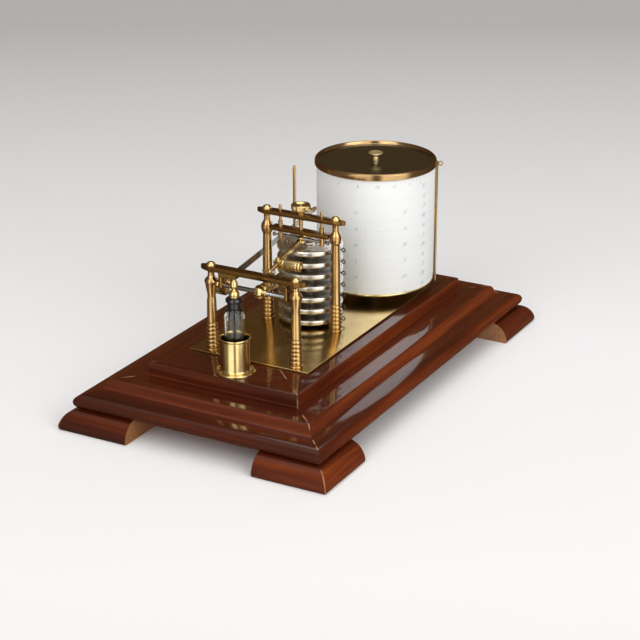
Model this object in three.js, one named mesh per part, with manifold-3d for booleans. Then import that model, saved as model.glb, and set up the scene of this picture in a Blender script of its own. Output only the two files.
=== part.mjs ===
// Barograph: recording aneroid barometer on a moulded mahogany plinth.
// Millimetres. Origin at the centre of the plinth on the resting plane, +Z up.
// +X runs towards the ink cup, -X towards the drum. The pen runs along the -Y side,
// which is the front; +Y is the back.
import * as THREE from 'three';
import { mergeVertices } from 'three/addons/utils/BufferGeometryUtils.js';
import Module from 'manifold-3d';

const wasm = await Module();
wasm.setup();

// ---- driving dimensions -------------------------------------------------
// "reach" is a distance from a middle line to either side.
const BOARD_BOTTOM = 15.4;
const STEP = { xReach: 154.4, yReach: 82.4 };   // arris of the lower board
const UPPER_BOARD = { xReach: 134.2, yReach: 62.2, bottom: 35.35, top: 45.2 };
const FOOT = { overhang: 28.3, length: 58.6, thickness: 37.6 };   // overhang is past the arris
const PLATE = { xSpan: [-100, 100.5], ySpan: [-47.5, 51.9], bottom: UPPER_BOARD.top, top: 47 };

const DRUM = { x: -84, y: 10.9, bottom: 53.5, floor: 55.5, top: 149.4, radius: 46 };
const CHART = { inner: DRUM.radius + 0.05, outer: 46.5, bottom: 55.6, top: 149.2 };
const CHART_CLIP_ANGLE = (117.5 * Math.PI) / 180;   // about the spindle, from +X

// two frames, each a bar along Y on a pair of pillars
const BAR_HALF_WIDTH = 4;
const TALL = { x: 18, y: 0.5, pillarReach: 29.4, barBottom: 131.3, barTop: 134.6, barReach: 37.3,
  waist: 1.0 };
const SHORT = { x: 92.6, y: 2.4, pillarReach: 35.3, barBottom: 108.6, barTop: 112.2,
  barReach: 43.4, waist: 1.05 };
const SETTING_BAR = { bottom: 119.3, top: 122.4, reach: 24.4 };
const PIN_REACH = 17.7;                          // guide pins from the bar's middle

// linkage; both arbors lie along Y
const UPPER_ARBOR = { x: TALL.x, z: 115.4 };
const PEN_ARBOR = { x: SHORT.x, z: 98.6 };
const LEVER_Y = 0.8;
const LEVER_ROOT = { x: TALL.x, z: 115 };
const LEVER_END = { x: 65.4, z: 104 };
const CRANK_END = { x: LEVER_END.x, z: 94.2 };
const LEVER_SLOPE = (LEVER_END.z - LEVER_ROOT.z) / (LEVER_END.x - LEVER_ROOT.x);
const CLAMP_X = 52.9;
const CLAMP = { x: CLAMP_X, z: LEVER_ROOT.z + LEVER_SLOPE * (CLAMP_X - LEVER_ROOT.x) };

const CAPSULES = { x: 4.5, y: LEVER_Y, radius: 25.1, height: 4.4, pitch: 9.2, firstZ: 51.5,
  count: 7 };

const GATE = { x: 80, y: -34.3, z: 91 };         // hinge of the pen arm
const PEN = { x: -66.5, z: 108.3 };
const LIFTER = { x: -30, y: -32, pivotZ: 51.6, top: 154.5 };
const CUP = { x: 118.3, y: 2, bottom: UPPER_BOARD.top };

const SIDES = [['front', -1], ['back', 1]];      // name and sign of Y

// ---- materials ----------------------------------------------------------
const material = (settings) => new THREE.MeshStandardMaterial(settings);
const WOOD = material({ color: 0x5a2414, roughness: 0.22, metalness: 0 });
const BRASS = material({ color: 0xc79a4b, roughness: 0.2, metalness: 1 });
const DARK_BRASS = material({ color: 0x8a6a34, roughness: 0.28, metalness: 1 });
const STEEL = material({ color: 0x9a9c9e, roughness: 0.25, metalness: 1 });
const SILVER = material({ color: 0xc9c5bb, roughness: 0.25, metalness: 1 });
const PAPER = material({ color: 0xe9ebe6, roughness: 0.9, metalness: 0 });
const BLACK = material({ color: 0x101014, roughness: 0.15, metalness: 0 });
const GLASS = material({
  color: 0xd8e2dc, roughness: 0.05, metalness: 0, transparent: true, opacity: 0.35,
});

// ---- solids and booleans ------------------------------------------------
// keeps only positions, with coincident vertices merged
function bare(geometry) {
  for (const key of Object.keys(geometry.attributes)) {
    if (key !== 'position') geometry.deleteAttribute(key);
  }
  return mergeVertices(geometry, 1e-4);
}

// positive when the triangles face outwards (six times the volume)
function signedVolume(positions, triangles) {
  const corners = [new THREE.Vector3(), new THREE.Vector3(), new THREE.Vector3()];
  let sum = 0;
  for (let i = 0; i < triangles.length; i += 3) {
    corners.forEach((corner, k) => corner.fromArray(positions, triangles[i + k] * 3));
    sum += corners[0].dot(corners[1].cross(corners[2]));
  }
  return sum;
}

function toManifold(geometry) {
  const merged = bare(geometry.clone());
  const positions = merged.attributes.position.array;
  const index = merged.index.array;
  const triangles = [];
  for (let i = 0; i < index.length; i += 3) {
    const corners = [index[i], index[i + 1], index[i + 2]];
    if (new Set(corners).size === 3) triangles.push(...corners);
  }
  // reversing the whole list turns every triangle over
  if (signedVolume(positions, triangles) < 0) triangles.reverse();
  return new wasm.Manifold(new wasm.Mesh({
    numProp: 3,
    vertProperties: Float32Array.from(positions),
    triVerts: Uint32Array.from(triangles),
  }));
}

function fromManifold(manifold) {
  const mesh = manifold.getMesh();
  const positions = new Float32Array(mesh.numVert * 3);
  for (let i = 0; i < mesh.numVert; i++) {
    for (let k = 0; k < 3; k++) {
      positions[i * 3 + k] = mesh.vertProperties[i * mesh.numProp + k];
    }
  }
  const geometry = new THREE.BufferGeometry();
  geometry.setAttribute('position', new THREE.BufferAttribute(positions, 3));
  geometry.setIndex(Array.from(mesh.triVerts));
  return geometry;
}

const clean = (geometry) => fromManifold(toManifold(geometry));
const union = (...parts) => fromManifold(parts.map(toManifold).reduce((a, b) => a.add(b)));
const cut = (body, ...tools) => fromManifold(
  tools.map(toManifold).reduce((a, b) => a.subtract(b), toManifold(body)),
);
const both = (first, second) => fromManifold(toManifold(first).intersect(toManifold(second)));

// ---- shape helpers ------------------------------------------------------
// A span is [low, high] along one axis.
const around = (middle, reach) => [middle - reach, middle + reach];
const middleOf = ([low, high]) => (low + high) / 2;

function box(...spans) {
  const sizes = spans.map(([low, high]) => high - low);
  return bare(new THREE.BoxGeometry(...sizes).translate(...spans.map(middleOf)));
}

// cylinder along Y, centred on the origin
const rod = (radius, [low, high], segments) => (
  new THREE.CylinderGeometry(radius, radius, high - low, segments)
);
const cylinderX = (radius, span, y, z, segments) => bare(
  rod(radius, span, segments).rotateZ(Math.PI / 2).translate(middleOf(span), y, z),
);
const cylinderY = (radius, span, x, z, segments) => bare(
  rod(radius, span, segments).translate(x, middleOf(span), z),
);
const cylinderZ = (radius, span, x, y, segments) => bare(
  rod(radius, span, segments).rotateX(Math.PI / 2).translate(x, y, middleOf(span)),
);

const toVectors = (points) => points.map(([x, y]) => new THREE.Vector2(x, y));
const revolve = (profile, segments) => new THREE.LatheGeometry(toVectors(profile), segments);

// solid of revolution about an upright axis; profile rows are [radius, z]
function latheZ(profile, segments, x = 0, y = 0) {
  return clean(revolve(profile, segments).rotateX(Math.PI / 2)).translate(x, y, 0);
}
// solid of revolution about an axis along Y; profile rows are [radius, y]
function latheY(profile, segments, x, z) {
  return clean(revolve(profile, segments)).translate(x, 0, z);
}
// profile with its heights counted from the given base
const raised = (base, profile) => profile.map(([radius, height]) => [radius, base + height]);

function extrude(outline, depth, holes = []) {
  const shape = new THREE.Shape(toVectors(outline));
  shape.holes = holes.map((hole) => new THREE.Path(toVectors(hole)));
  return new THREE.ExtrudeGeometry(shape, { depth, bevelEnabled: false });
}
// outline rows are [x, y]
function plateZ(outline, [bottom, top], holes) {
  return clean(extrude(outline, top - bottom, holes).translate(0, 0, bottom));
}
// outline rows are [x, z]
function plateY(outline, [front, back]) {
  return clean(extrude(outline, back - front).rotateX(Math.PI / 2).translate(0, back, 0));
}
// outline rows are [y, z]
function plateX(outline, [low, high]) {
  const plate = extrude(outline, high - low).rotateX(Math.PI / 2).rotateZ(Math.PI / 2);
  return clean(plate.translate(low, 0, 0));
}

// polygon standing for a circle
function ring(radius, count, x = 0, y = 0) {
  return Array.from({ length: count }, (_, i) => {
    const angle = (i / count) * Math.PI * 2;
    return [x + radius * Math.cos(angle), y + radius * Math.sin(angle)];
  });
}

// tapering straight bar in an XZ plane, with square ends
function taperedBar(start, end, startHalf, endHalf, span) {
  const runX = end.x - start.x;
  const runZ = end.z - start.z;
  const length = Math.hypot(runX, runZ);
  const acrossX = -runZ / length;
  const acrossZ = runX / length;
  const edge = (point, offset) => [point.x + acrossX * offset, point.z + acrossZ * offset];
  return plateY([edge(start, startHalf), edge(start, -startHalf),
    edge(end, -endHalf), edge(end, endHalf)], span);
}

// slab whose four sides all carry the same edge profile, mitred at the corners;
// profile rows are [outward offset from the span, z]
function profiledSlab(profile, xSpan, ySpan) {
  const overrun = 60;
  const section = ([low, high]) => [
    ...profile.map(([offset, z]) => [high + offset, z]),
    ...profile.map(([offset, z]) => [low - offset, z]).reverse(),
  ];
  const past = ([low, high]) => [low - overrun, high + overrun];
  return both(plateY(section(xSpan), past(ySpan)), plateX(section(ySpan), past(xSpan)));
}

const barograph = new THREE.Group();
function add(name, geometry, surface) {
  const mesh = new THREE.Mesh(bare(geometry), surface);
  mesh.name = name;
  barograph.add(mesh);
}

// ---- plinth -------------------------------------------------------------
// edge of the lower board, from top to bottom: [outward offset from the arris, z]
const MOULDING = [
  [-2.2, 35.35], [-0.7, 35.1], [0.4, 34.5], [1.2, 33.6], [1.8, 32.4], [2.9, 29.8], [3.9, 28.6],
  [5.7, 27.9], [8.3, 27.5], [11.2, 27.0], [14.0, 26.3], [16.5, 25.3], [18.3, 24.2],
  [19.4, 22.8], [20.0, 21.0], [19.7, 18.9], [18.9, 17.2], [17.4, 15.9], [15.0, BOARD_BOTTOM],
];
add('lower_board', profiledSlab(MOULDING, around(0, STEP.xReach), around(0, STEP.yReach)), WOOD);

const UPPER_EDGE = [
  [0, UPPER_BOARD.bottom], [0, UPPER_BOARD.top - 0.8],
  [-0.25, UPPER_BOARD.top - 0.25], [-0.8, UPPER_BOARD.top],
];
add('upper_board', profiledSlab(
  UPPER_EDGE, around(0, UPPER_BOARD.xReach), around(0, UPPER_BOARD.yReach),
), WOOD);

// outer face of a foot, from top to bottom: [outward offset from the arris, z]
const FOOT_FACE = [
  [15.0, BOARD_BOTTOM], [17.8, 15.2], [20.6, 14.2], [23.4, 12.2], [25.7, 9.5], [27.2, 6.7],
  [28.1, 4.3], [FOOT.overhang, 2.6], [28.0, 1.1], [27.2, 0],
];
// L-shaped foot under the corner with the given signs of X and Y
function bracketFoot(signX, signY) {
  const section = (reach) => [
    [0, BOARD_BOTTOM], ...FOOT_FACE.map(([offset, z]) => [reach + offset, z]), [0, 0],
  ];
  const cornerX = STEP.xReach + FOOT.overhang;
  const cornerY = STEP.yReach + FOOT.overhang;
  const block = both(
    plateY(section(STEP.xReach), [cornerY - FOOT.length, cornerY + 1]),
    plateX(section(STEP.yReach), [cornerX - FOOT.length, cornerX + 1]),
  );
  const notch = (corner) => [corner - FOOT.length - 5, corner - FOOT.thickness];
  return clean(cut(block, box(notch(cornerX), notch(cornerY), [-1, 20])).scale(signX, signY, 1));
}
for (const [end, signX] of [['cup', 1], ['drum', -1]]) {
  for (const [side, signY] of SIDES) {
    add(`bracket_foot_${end}_end_${side}`, bracketFoot(signX, signY), WOOD);
  }
}

// ---- base plate ---------------------------------------------------------
const PLATE_BEVEL = 0.35;
add('base_plate', profiledSlab([
  [0, PLATE.bottom], [0, PLATE.top - PLATE_BEVEL], [-PLATE_BEVEL, PLATE.top],
], PLATE.xSpan, PLATE.ySpan), BRASS);

// ---- pillars and bars ---------------------------------------------------
const BEAD_RADII = [4.9, 4.8, 4.75, 4.65, 4.55, 4.4];   // from the foot upwards
const BEAD_PITCH = 3.2;

// foot ring, stack of beads, waist and turned head; waist scales the plain shaft's radii
function pillar(x, y, top, waist) {
  const beads = BEAD_RADII.flatMap((radius, i) => raised(PLATE.top + 1.6 + BEAD_PITCH * i, [
    [radius, 0.9], [radius, 2.3], [radius - 0.75, BEAD_PITCH],
  ]));
  return latheZ([
    ...raised(PLATE.top, [[0, 0], [5.3, 0], [5.3, 1.1], [4.1, 1.6]]),
    ...beads,
    [3.5 * waist, PLATE.top + 21.6], [3 * waist, top - 17.4],
    ...raised(top, [
      [3.1, -15.2], [4.6, -13.2], [5.05, -10.8], [4.5, -7.8], [3.0, -5.9], [2.4, -4.6],
      [2.5, -1.2], [3.3, 0], [0, 0],
    ]),
  ], 14, x, y);
}

// flat bar narrowing to a blunt point at each end
function pointedBar(frame, holes) {
  const shoulder = frame.barReach - 6.2;
  const corners = [   // [x, y] from the middle of the bar
    [-BAR_HALF_WIDTH, -shoulder], [-1, -frame.barReach],
    [1, -frame.barReach], [BAR_HALF_WIDTH, -shoulder],
    [BAR_HALF_WIDTH, shoulder], [1, frame.barReach],
    [-1, frame.barReach], [-BAR_HALF_WIDTH, shoulder],
  ];
  const outline = corners.map(([x, y]) => [frame.x + x, frame.y + y]);
  return plateZ(outline, [frame.barBottom, frame.barTop], holes);
}

const domedNut = (x, y, base) => latheZ(raised(base, [
  [0, 0], [3.3, 0], [3.3, 0.7], [3.0, 1.7], [2.2, 2.5], [1.1, 2.95], [0, 3.1],
]), 18, x, y);

function addFrame(name, frame, holes = []) {
  const pillarY = (sign) => frame.y + sign * frame.pillarReach;
  for (const [side, sign] of SIDES) {
    const post = pillar(frame.x, pillarY(sign), frame.barBottom, frame.waist);
    add(`${name}_pillar_${side}`, post, BRASS);
  }
  add(`${name}_bar`, pointedBar(frame, holes), BRASS);
  for (const [side, sign] of SIDES) {
    add(`${name}_nut_${side}`, domedNut(frame.x, pillarY(sign), frame.barTop), BRASS);
  }
}
// holes for the two guide pins and, between them, the setting screw
const settingHoles = (pinRadius, screwRadius) => [
  ring(pinRadius, 16, TALL.x, TALL.y - PIN_REACH),
  ring(pinRadius, 16, TALL.x, TALL.y + PIN_REACH),
  ring(screwRadius, 16, TALL.x, TALL.y),
];
addFrame('tall_frame', TALL, settingHoles(1.25, 2));
addFrame('short_frame', SHORT);

// ---- setting bar on its guide pins --------------------------------------
const [barLeft, barRight] = around(TALL.x, BAR_HALF_WIDTH);
const [barFront, barBack] = around(TALL.y, SETTING_BAR.reach);
add('setting_bar', plateZ(
  [[barLeft, barFront], [barRight, barFront], [barRight, barBack], [barLeft, barBack]],
  [SETTING_BAR.bottom, SETTING_BAR.top], settingHoles(1.9, 1.68),
), DARK_BRASS);

// the thin top slides in the fixed bar; the lower end is bored for a pivot screw
function guidePin(y) {
  const pin = latheZ([
    [0, 111.8], [1.4, 111.8], [1.85, 112.3], [1.85, SETTING_BAR.top + 3.8],
    [1.14, SETTING_BAR.top + 4.4], [1.14, 138.9], [0.8, 139.4], [0, 139.4],
  ], 16, TALL.x, y);
  return cut(pin, cylinderY(0.95, around(y, 4), UPPER_ARBOR.x, UPPER_ARBOR.z, 12));
}
for (const [side, sign] of SIDES) {
  add(`guide_pin_${side}`, guidePin(TALL.y + sign * PIN_REACH), BRASS);
}
add('setting_screw', latheZ([
  [0, 119.4], [1.6, 119.4], [1.6, 141.2], [1.2, 141.6], [0, 141.6],
], 16, TALL.x, TALL.y), BRASS);
// dished nut resting on the fixed bar
add('setting_nut', latheZ([
  [1.68, 134.62], [2.9, 134.62], [2.9, 136.0], [3.7, 136.7], [5.7, 137.2], [7.0, 138.1],
  [7.4, 139.2], [7.4, 141.9], [6.9, 142.5], [5.9, 142.4], [4.4, 141.3], [3.0, 140.9],
  [1.68, 140.9], [1.68, 134.62],
], 28, TALL.x, TALL.y), BRASS);

// ---- upper arbor and main lever -----------------------------------------
// thickest under the lever, hollow at both ends for the pivot screws
function upperArbor() {
  const [front, back] = around(TALL.y, PIN_REACH - 2.1);
  return latheY([
    ...raised(front, [[0, 1.1], [0.55, 1.1], [0.55, 0], [1.15, 0], [1.3, 6]]),
    [1.55, LEVER_Y - 3.2], [1.55, LEVER_Y + 3.2],
    ...raised(back, [[1.3, -6], [1.15, 0], [0.55, 0], [0.55, -1.1], [0, -1.1]]),
  ], 16, UPPER_ARBOR.x, UPPER_ARBOR.z);
}
add('upper_arbor', upperArbor(), STEEL);

// head outside the guide pin, point inside the arbor's end: [radius, distance inwards]
const PIVOT_SCREW = [
  [0, -6.4], [1.3, -6.4], [1.6, -6.0], [1.6, -4.4], [0.88, -4.2], [0.88, 1.9], [0.42, 2.2],
  [0.42, 2.8], [0, 3.0],
];
for (const [side, sign] of SIDES) {
  const pinY = TALL.y + sign * PIN_REACH;
  const profile = PIVOT_SCREW.map(([radius, inwards]) => [radius, pinY - sign * inwards]);
  add(`pivot_screw_${side}`, latheY(profile, 14, UPPER_ARBOR.x, UPPER_ARBOR.z), STEEL);
}

function mainLever() {
  const barSpan = around(LEVER_Y, 1.3);
  const capsuleEnd = { x: CAPSULES.x, z: UPPER_ARBOR.z };
  const block = plateY([
    [15.4, 112.4], [16.6, 111.6], [20.4, 111.6], [21.3, 113.0],
    [21.2, 116.4], [19.6, 117.6], [16.4, 117.6], [15.0, 116.4],
  ], around(LEVER_Y, 1.9));
  const lever = union(
    block,
    taperedBar(LEVER_ROOT, LEVER_END, 1.9, 1.6, barSpan),
    cylinderY(1.8, barSpan, LEVER_END.x, LEVER_END.z, 14),
    cylinderY(0.6, [LEVER_Y - 6.6, LEVER_Y + 4.6], LEVER_END.x, LEVER_END.z, 12),
    // short arm over the capsules and its cross pin
    taperedBar(UPPER_ARBOR, capsuleEnd, 1.4, 1.2, around(LEVER_Y, 0.8)),
    cylinderY(0.6, around(LEVER_Y, 2.9), capsuleEnd.x, capsuleEnd.z, 12),
    // grub screw head in the back of the block
    cylinderY(1.2, [LEVER_Y + 1.5, LEVER_Y + 2.9], 19.4, 113, 12),
  );
  return cut(lever, cylinderY(1.57, around(LEVER_Y, 2.9), UPPER_ARBOR.x, UPPER_ARBOR.z, 16));
}
add('main_lever', mainLever(), BRASS);

// cross clamp straddling the lever and holding the range screw, tilted to the lever's slope
function rangeClamp() {
  const clamp = cut(
    union(
      box(around(0, 2.6), [LEVER_Y - 2.7, LEVER_Y + 2.9], around(0, 3.1)),
      box(around(0, 1.3), [LEVER_Y - 2.2, LEVER_Y + 2.4], around(0, 4.6)),
    ),
    box(around(0, 4), around(LEVER_Y, 1.34), around(0, 1.92)),
    cylinderY(1.06, [LEVER_Y, LEVER_Y + 4], 0, 0, 14),
  );
  return clean(clamp.rotateY(-Math.atan(LEVER_SLOPE)).translate(CLAMP.x, 0, CLAMP.z));
}
add('range_clamp', rangeClamp(), BRASS);
add('range_screw', latheY(raised(LEVER_Y, [
  [0, 1.36], [1.0, 1.36], [1.0, 3.0], [3.5, 3.0], [3.9, 3.5],
  [3.9, 18.4], [3.5, 18.9], [1.6, 18.9], [1.3, 17.9], [0, 17.9],
]), 24, CLAMP.x, CLAMP.z), BRASS);

// round eye on the lever pin, rectangular slot over the crank pin
function dropLink() {
  const { x, z } = LEVER_END;
  const span = [LEVER_Y + 2.4, LEVER_Y + 3.6];
  const through = [LEVER_Y + 1.4, LEVER_Y + 4.6];
  return cut(
    union(
      cylinderY(1.7, span, x, z, 16),
      box(around(x, 0.9), span, [96.8, 103.4]),
      box(around(x, 2.3), span, [91, 97.4]),
    ),
    cylinderY(0.68, through, x, z, 14),
    box(around(x, 1.5), through, [91.8, 96.6]),
  );
}
add('drop_link', dropLink(), STEEL);

// ---- aneroid capsules ---------------------------------------------------
const BOSS_RADIUS = 6.6;

// corrugated capsule; the first stands on the plate, the others on the boss below
function capsule(z, isFirst, isLast) {
  const half = CAPSULES.height / 2;
  const rim = CAPSULES.radius;
  const low = z - half;
  const high = z + half;
  const bossReach = CAPSULES.pitch / 2 - 0.2;
  const bottomBoss = isFirst
    ? [...raised(PLATE.top, [[0, 0], [7.5, 0], [7.5, 1], [3.2, 1.2]]), [3.2, low + 0.5]]
    : [[0, z - bossReach], [BOSS_RADIUS, z - bossReach], [BOSS_RADIUS, low + 0.5]];
  const topBoss = isLast
    ? [[BOSS_RADIUS, high + 0.6], [3, high + 1], [0, high + 1]]
    : [[BOSS_RADIUS, z + bossReach], [0, z + bossReach]];
  const body = latheZ([
    ...bottomBoss,
    [13, low + 1], [17, low + 0.3], [20.5, low + 1], [rim - 1.2, low],
    [rim, z - half * 0.45], [rim, z + half * 0.45],
    [rim - 1.2, high], [20.5, high - 1], [17, high - 0.3], [13, high - 1],
    [BOSS_RADIUS, high - 0.5],
    ...topBoss,
  ], 24, CAPSULES.x, CAPSULES.y);
  // sealed filling tail curled into a small loop at the back of the rim
  const rimY = CAPSULES.y + rim;
  const tail = cylinderY(0.6, [rimY - 1.2, rimY + 2.3], CAPSULES.x, z, 6);
  const loop = new THREE.TorusGeometry(1.45, 0.5, 5, 9).rotateY(Math.PI / 2);
  return union(body, tail, bare(loop.translate(CAPSULES.x, rimY + 3.55, z)));
}

// stud and open-topped fork under the short arm of the main lever
function capsuleFork(bottom) {
  const { x, y } = CAPSULES;
  return cut(
    union(
      cylinderZ(1.6, [bottom, 111.6], x, y, 14),
      box(around(x, 1.9), around(y, 2.4), [111.2, 117.6]),
    ),
    box(around(x, 4), around(y, 1.2), [112.4, 119]),
    box(around(x, 0.95), around(y, 4), [113.2, 119]),
  );
}
for (let i = 1; i <= CAPSULES.count; i++) {
  const z = CAPSULES.firstZ + (i - 1) * CAPSULES.pitch;
  const isLast = i === CAPSULES.count;
  const body = capsule(z, i === 1, isLast);
  const piece = isLast ? union(body, capsuleFork(z + CAPSULES.height / 2 + 0.5)) : body;
  add(`capsule_${i}`, piece, SILVER);
}

// ---- pen arbor and its cocks --------------------------------------------
const FRONT_LEG = [SHORT.y - 27.3, SHORT.y - 27.3 + 2.6];
const BACK_LEG = [SHORT.y + 29.9 - 2.4, SHORT.y + 29.9];

// bracket hanging from the short frame's bar; the leg is bored for the arbor
function arborCock(legSpan, footSpan, footDepth, boreRadius) {
  const { x, z } = PEN_ARBOR;
  const legTop = SHORT.barBottom - 0.2;
  const pad = box(around(x, 3.4), footSpan, [SHORT.barBottom - footDepth, SHORT.barBottom]);
  const leg = plateY([
    [x - 3.2, legTop], [x - 3.2, z - 1.6], [x - 1.6, z - 3.3],
    [x + 1.6, z - 3.3], [x + 3.2, z - 1.6], [x + 3.2, legTop],
  ], legSpan);
  const bore = cylinderY(boreRadius, [legSpan[0] - 1, legSpan[1] + 1], x, z, 16);
  return cut(union(pad, leg), bore);
}
add('arbor_cock_front',
  arborCock(FRONT_LEG, [FRONT_LEG[0], FRONT_LEG[0] + 14.3], 3.2, 1.25), DARK_BRASS);
add('arbor_cock_back',
  arborCock(BACK_LEG, [BACK_LEG[0] - 1.6, BACK_LEG[1]], 2.2, 0.9), DARK_BRASS);

// the thickest part, y 5.2 to 14.4, is the seat of the crank's hub
add('pen_arbor', latheY([
  [0, FRONT_LEG[0] - 2.7], [1.0, FRONT_LEG[0] - 2.7], [1.18, FRONT_LEG[0] - 2.5],
  [1.18, FRONT_LEG[1] + 0.2], [1.75, FRONT_LEG[1] + 0.2],
  [1.75, 5.2], [1.9, 5.2], [1.9, 14.4], [1.75, 14.4],
  [1.75, BACK_LEG[0] - 0.2], [0.82, BACK_LEG[0] - 0.2],
  [0.82, BACK_LEG[1] + 0.1], [0, BACK_LEG[1] + 0.1],
], 18, PEN_ARBOR.x, PEN_ARBOR.z), STEEL);

// hub with the crank the drop link works on
function penCrank() {
  const hub = latheY([
    [1.92, 5.3], [4.4, 5.3], [5.0, 6.0], [5.0, 9.4], [3.6, 10.6], [3.4, 14.3], [1.92, 14.3],
    [1.92, 5.3],
  ], 20, PEN_ARBOR.x, PEN_ARBOR.z);
  const root = { x: PEN_ARBOR.x - 3.6, z: PEN_ARBOR.z - 0.6 };
  return union(
    hub,
    taperedBar(root, CRANK_END, 1.7, 1.2, [5.6, 7.2]),
    cylinderY(1.6, [5.5, 7.4], CRANK_END.x, CRANK_END.z, 14),
    cylinderY(0.6, [LEVER_Y + 1.6, 6.5], CRANK_END.x, CRANK_END.z, 12),
  );
}
add('pen_crank', penCrank(), BRASS);

// clamp cheek on the arbor, two ears and the hinge pin between them
function armGate() {
  const [front, back] = [FRONT_LEG[0] - 2.6, FRONT_LEG[0] - 0.4];
  const earX = around(GATE.x, 2.8);
  const earY = [GATE.y - 2.3, front + 0.6];
  const cheek = plateY([
    [76.4, 92.2], [82.6, 92.2], [91.0, 95.6], [95.2, 96.4], [96.2, 98.6],
    [95.2, 100.9], [92.6, 101.9], [90.2, 101.2], [84.0, 99.2], [76.4, 98.4],
  ], [front, back]);
  const body = union(
    cheek,
    box(earX, earY, [94.4, 96.4]),
    box(earX, earY, [86.2, 87.8]),
    box(earX, [front - 2.6, front + 0.6], [86.2, 96.4]),
    cylinderY(1.9, [back - 0.5, back + 1.2], 80.2, 95.4, 14),
  );
  const bore = cylinderY(1.2, [front - 1, back + 1], PEN_ARBOR.x, PEN_ARBOR.z, 16);
  const hingePin = latheZ([
    [0, 85.4], [0.78, 85.4], [0.78, 96.5], [1.4, 96.5], [1.4, 97.1], [0, 97.5],
  ], 12, GATE.x, GATE.y);
  return union(cut(body, bore), hingePin);
}
add('arm_gate', armGate(), BRASS);

// long tapering strip on edge, with a knuckle round the hinge pin
function penArm() {
  const runX = PEN.x - GATE.x;
  const rise = PEN.z - GATE.z;
  const length = Math.hypot(runX, rise) - 3.4;
  const strip = plateY([
    [0, 3.1], [0, -3.1], [-length + 3, -1.9], [-length, 0], [-length + 3, 1.9],
  ], around(0, 0.3));
  strip.rotateY(Math.atan2(rise, -runX)).translate(GATE.x - 1, GATE.y, GATE.z);
  const knuckle = cylinderZ(2, [88, 94.2], GATE.x, GATE.y, 16);
  return cut(union(strip, knuckle), cylinderZ(0.85, [80, 99], GATE.x, GATE.y, 12));
}
add('pen_arm', penArm(), STEEL);

// tapered barrel on the arm's front face, its point turned in to the paper
function pen() {
  const faceY = GATE.y - 0.32;
  const barrel = plateX([
    [faceY, PEN.z - 2.4], [faceY, PEN.z + 2.4], [faceY - 1.5, PEN.z + 1.5],
    [faceY - 1.5, PEN.z - 1.5],
  ], [PEN.x - 1.6, PEN.x + 4]);
  const point = new THREE.ConeGeometry(1.5, 4.4, 8, 1).rotateZ(Math.PI / 2).rotateZ(-0.36);
  return union(barrel, bare(point).translate(PEN.x - 2.1, faceY - 0.22, PEN.z - 0.1));
}
add('pen', pen(), BRASS);

// ---- pen lifter ---------------------------------------------------------
function lifterFoot() {
  const { x, y, pivotZ } = LIFTER;
  const lug = (xSpan) => box(xSpan, around(y, 2), [PLATE.top + 1.2, pivotZ + 2.2]);
  return cut(
    union(
      box(around(x, 4.4), around(y, 3.2), [PLATE.top, PLATE.top + 1.6]),
      lug([x - 3.6, x - 2]),
      lug([x + 2, x + 3.6]),
    ),
    cylinderX(0.75, around(x, 5), y, pivotZ, 12),
  );
}
add('lifter_foot', lifterFoot(), BRASS);

// upright rod with its cross pivot and the boss between the lugs
function lifterRod() {
  const { x, y, pivotZ, top } = LIFTER;
  return union(
    cylinderZ(1.3, [pivotZ - 1.6, top], x, y, 14),
    cylinderX(0.68, around(x, 3.7), y, pivotZ, 12),
    cylinderX(1.5, around(x, 1.8), y, pivotZ, 14),
  );
}
add('lifter_rod', lifterRod(), BRASS);

// ---- ink cup and bottle -------------------------------------------------
const addAtCup = (name, profile, segments, surface) => (
  add(name, latheZ(profile, segments, CUP.x, CUP.y), surface)
);
addAtCup('ink_cup', [
  ...raised(CUP.bottom, [[0, 0], [14.6, 0], [14.7, 0.9], [14, 1.5], [11.6, 1.8], [10.9, 2.6]]),
  [10.8, 70.2], [11.2, 70.7], [11.6, 71.3], [11.5, 71.9], [11.0, 72.1], [10.3, 71.7],
  [10.0, 48.2], [0, 48.2],
], 32, BRASS);
addAtCup('ink_bottle', [
  [0, 48.4], [7.0, 48.4], [7.6, 49.0], [7.6, 86.6], [7.2, 89.4], [6.5, 91.4], [6.4, 93.4],
  [6.0, 94.1], [5.5, 94.0], [5.3, 91.2], [5.9, 89.2], [6.5, 86.4], [6.5, 50.2], [5.9, 49.8],
  [0, 49.8],
], 24, GLASS);
addAtCup('ink_stopper', [
  [0, 53.0], [0.9, 53.3], [1.3, 54.6], [1.5, 84.3], [2.0, 84.4], [3.4, 85.6], [4.1, 87.6],
  [4.55, 91.2], [4.95, 96.4], [5.0, 98.6], [6.2, 99.1], [6.4, 100.4], [5.7, 101.7],
  [3.8, 102.2], [0, 102.2],
], 24, BLACK);
addAtCup('stopper_knob', [
  [0, 102.2], [3.7, 102.2], [4.0, 103.2], [3.9, 105.2], [3.3, 106.6], [2.0, 107.2],
  [1.5, 107.8], [2.0, 108.8], [2.8, 110.6], [2.9, 112.4], [2.3, 114.4], [1.2, 115.6], [0, 115.9],
], 20, BRASS);

// ---- drum, clock and spindle: x and y are counted from the spindle ------
const addAtDrum = (name, geometry, surface) => (
  add(name, geometry.translate(DRUM.x, DRUM.y, 0), surface)
);
const PINION_DISTANCE = 18;
const PINION_ANGLE = -2.2;   // radians from +X
const PINION = {
  x: PINION_DISTANCE * Math.cos(PINION_ANGLE),
  y: PINION_DISTANCE * Math.sin(PINION_ANGLE),
  teeth: 12,
};
const WHEEL_TEETH = 60;
const BARREL = { x: -23, y: 6 };

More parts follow.
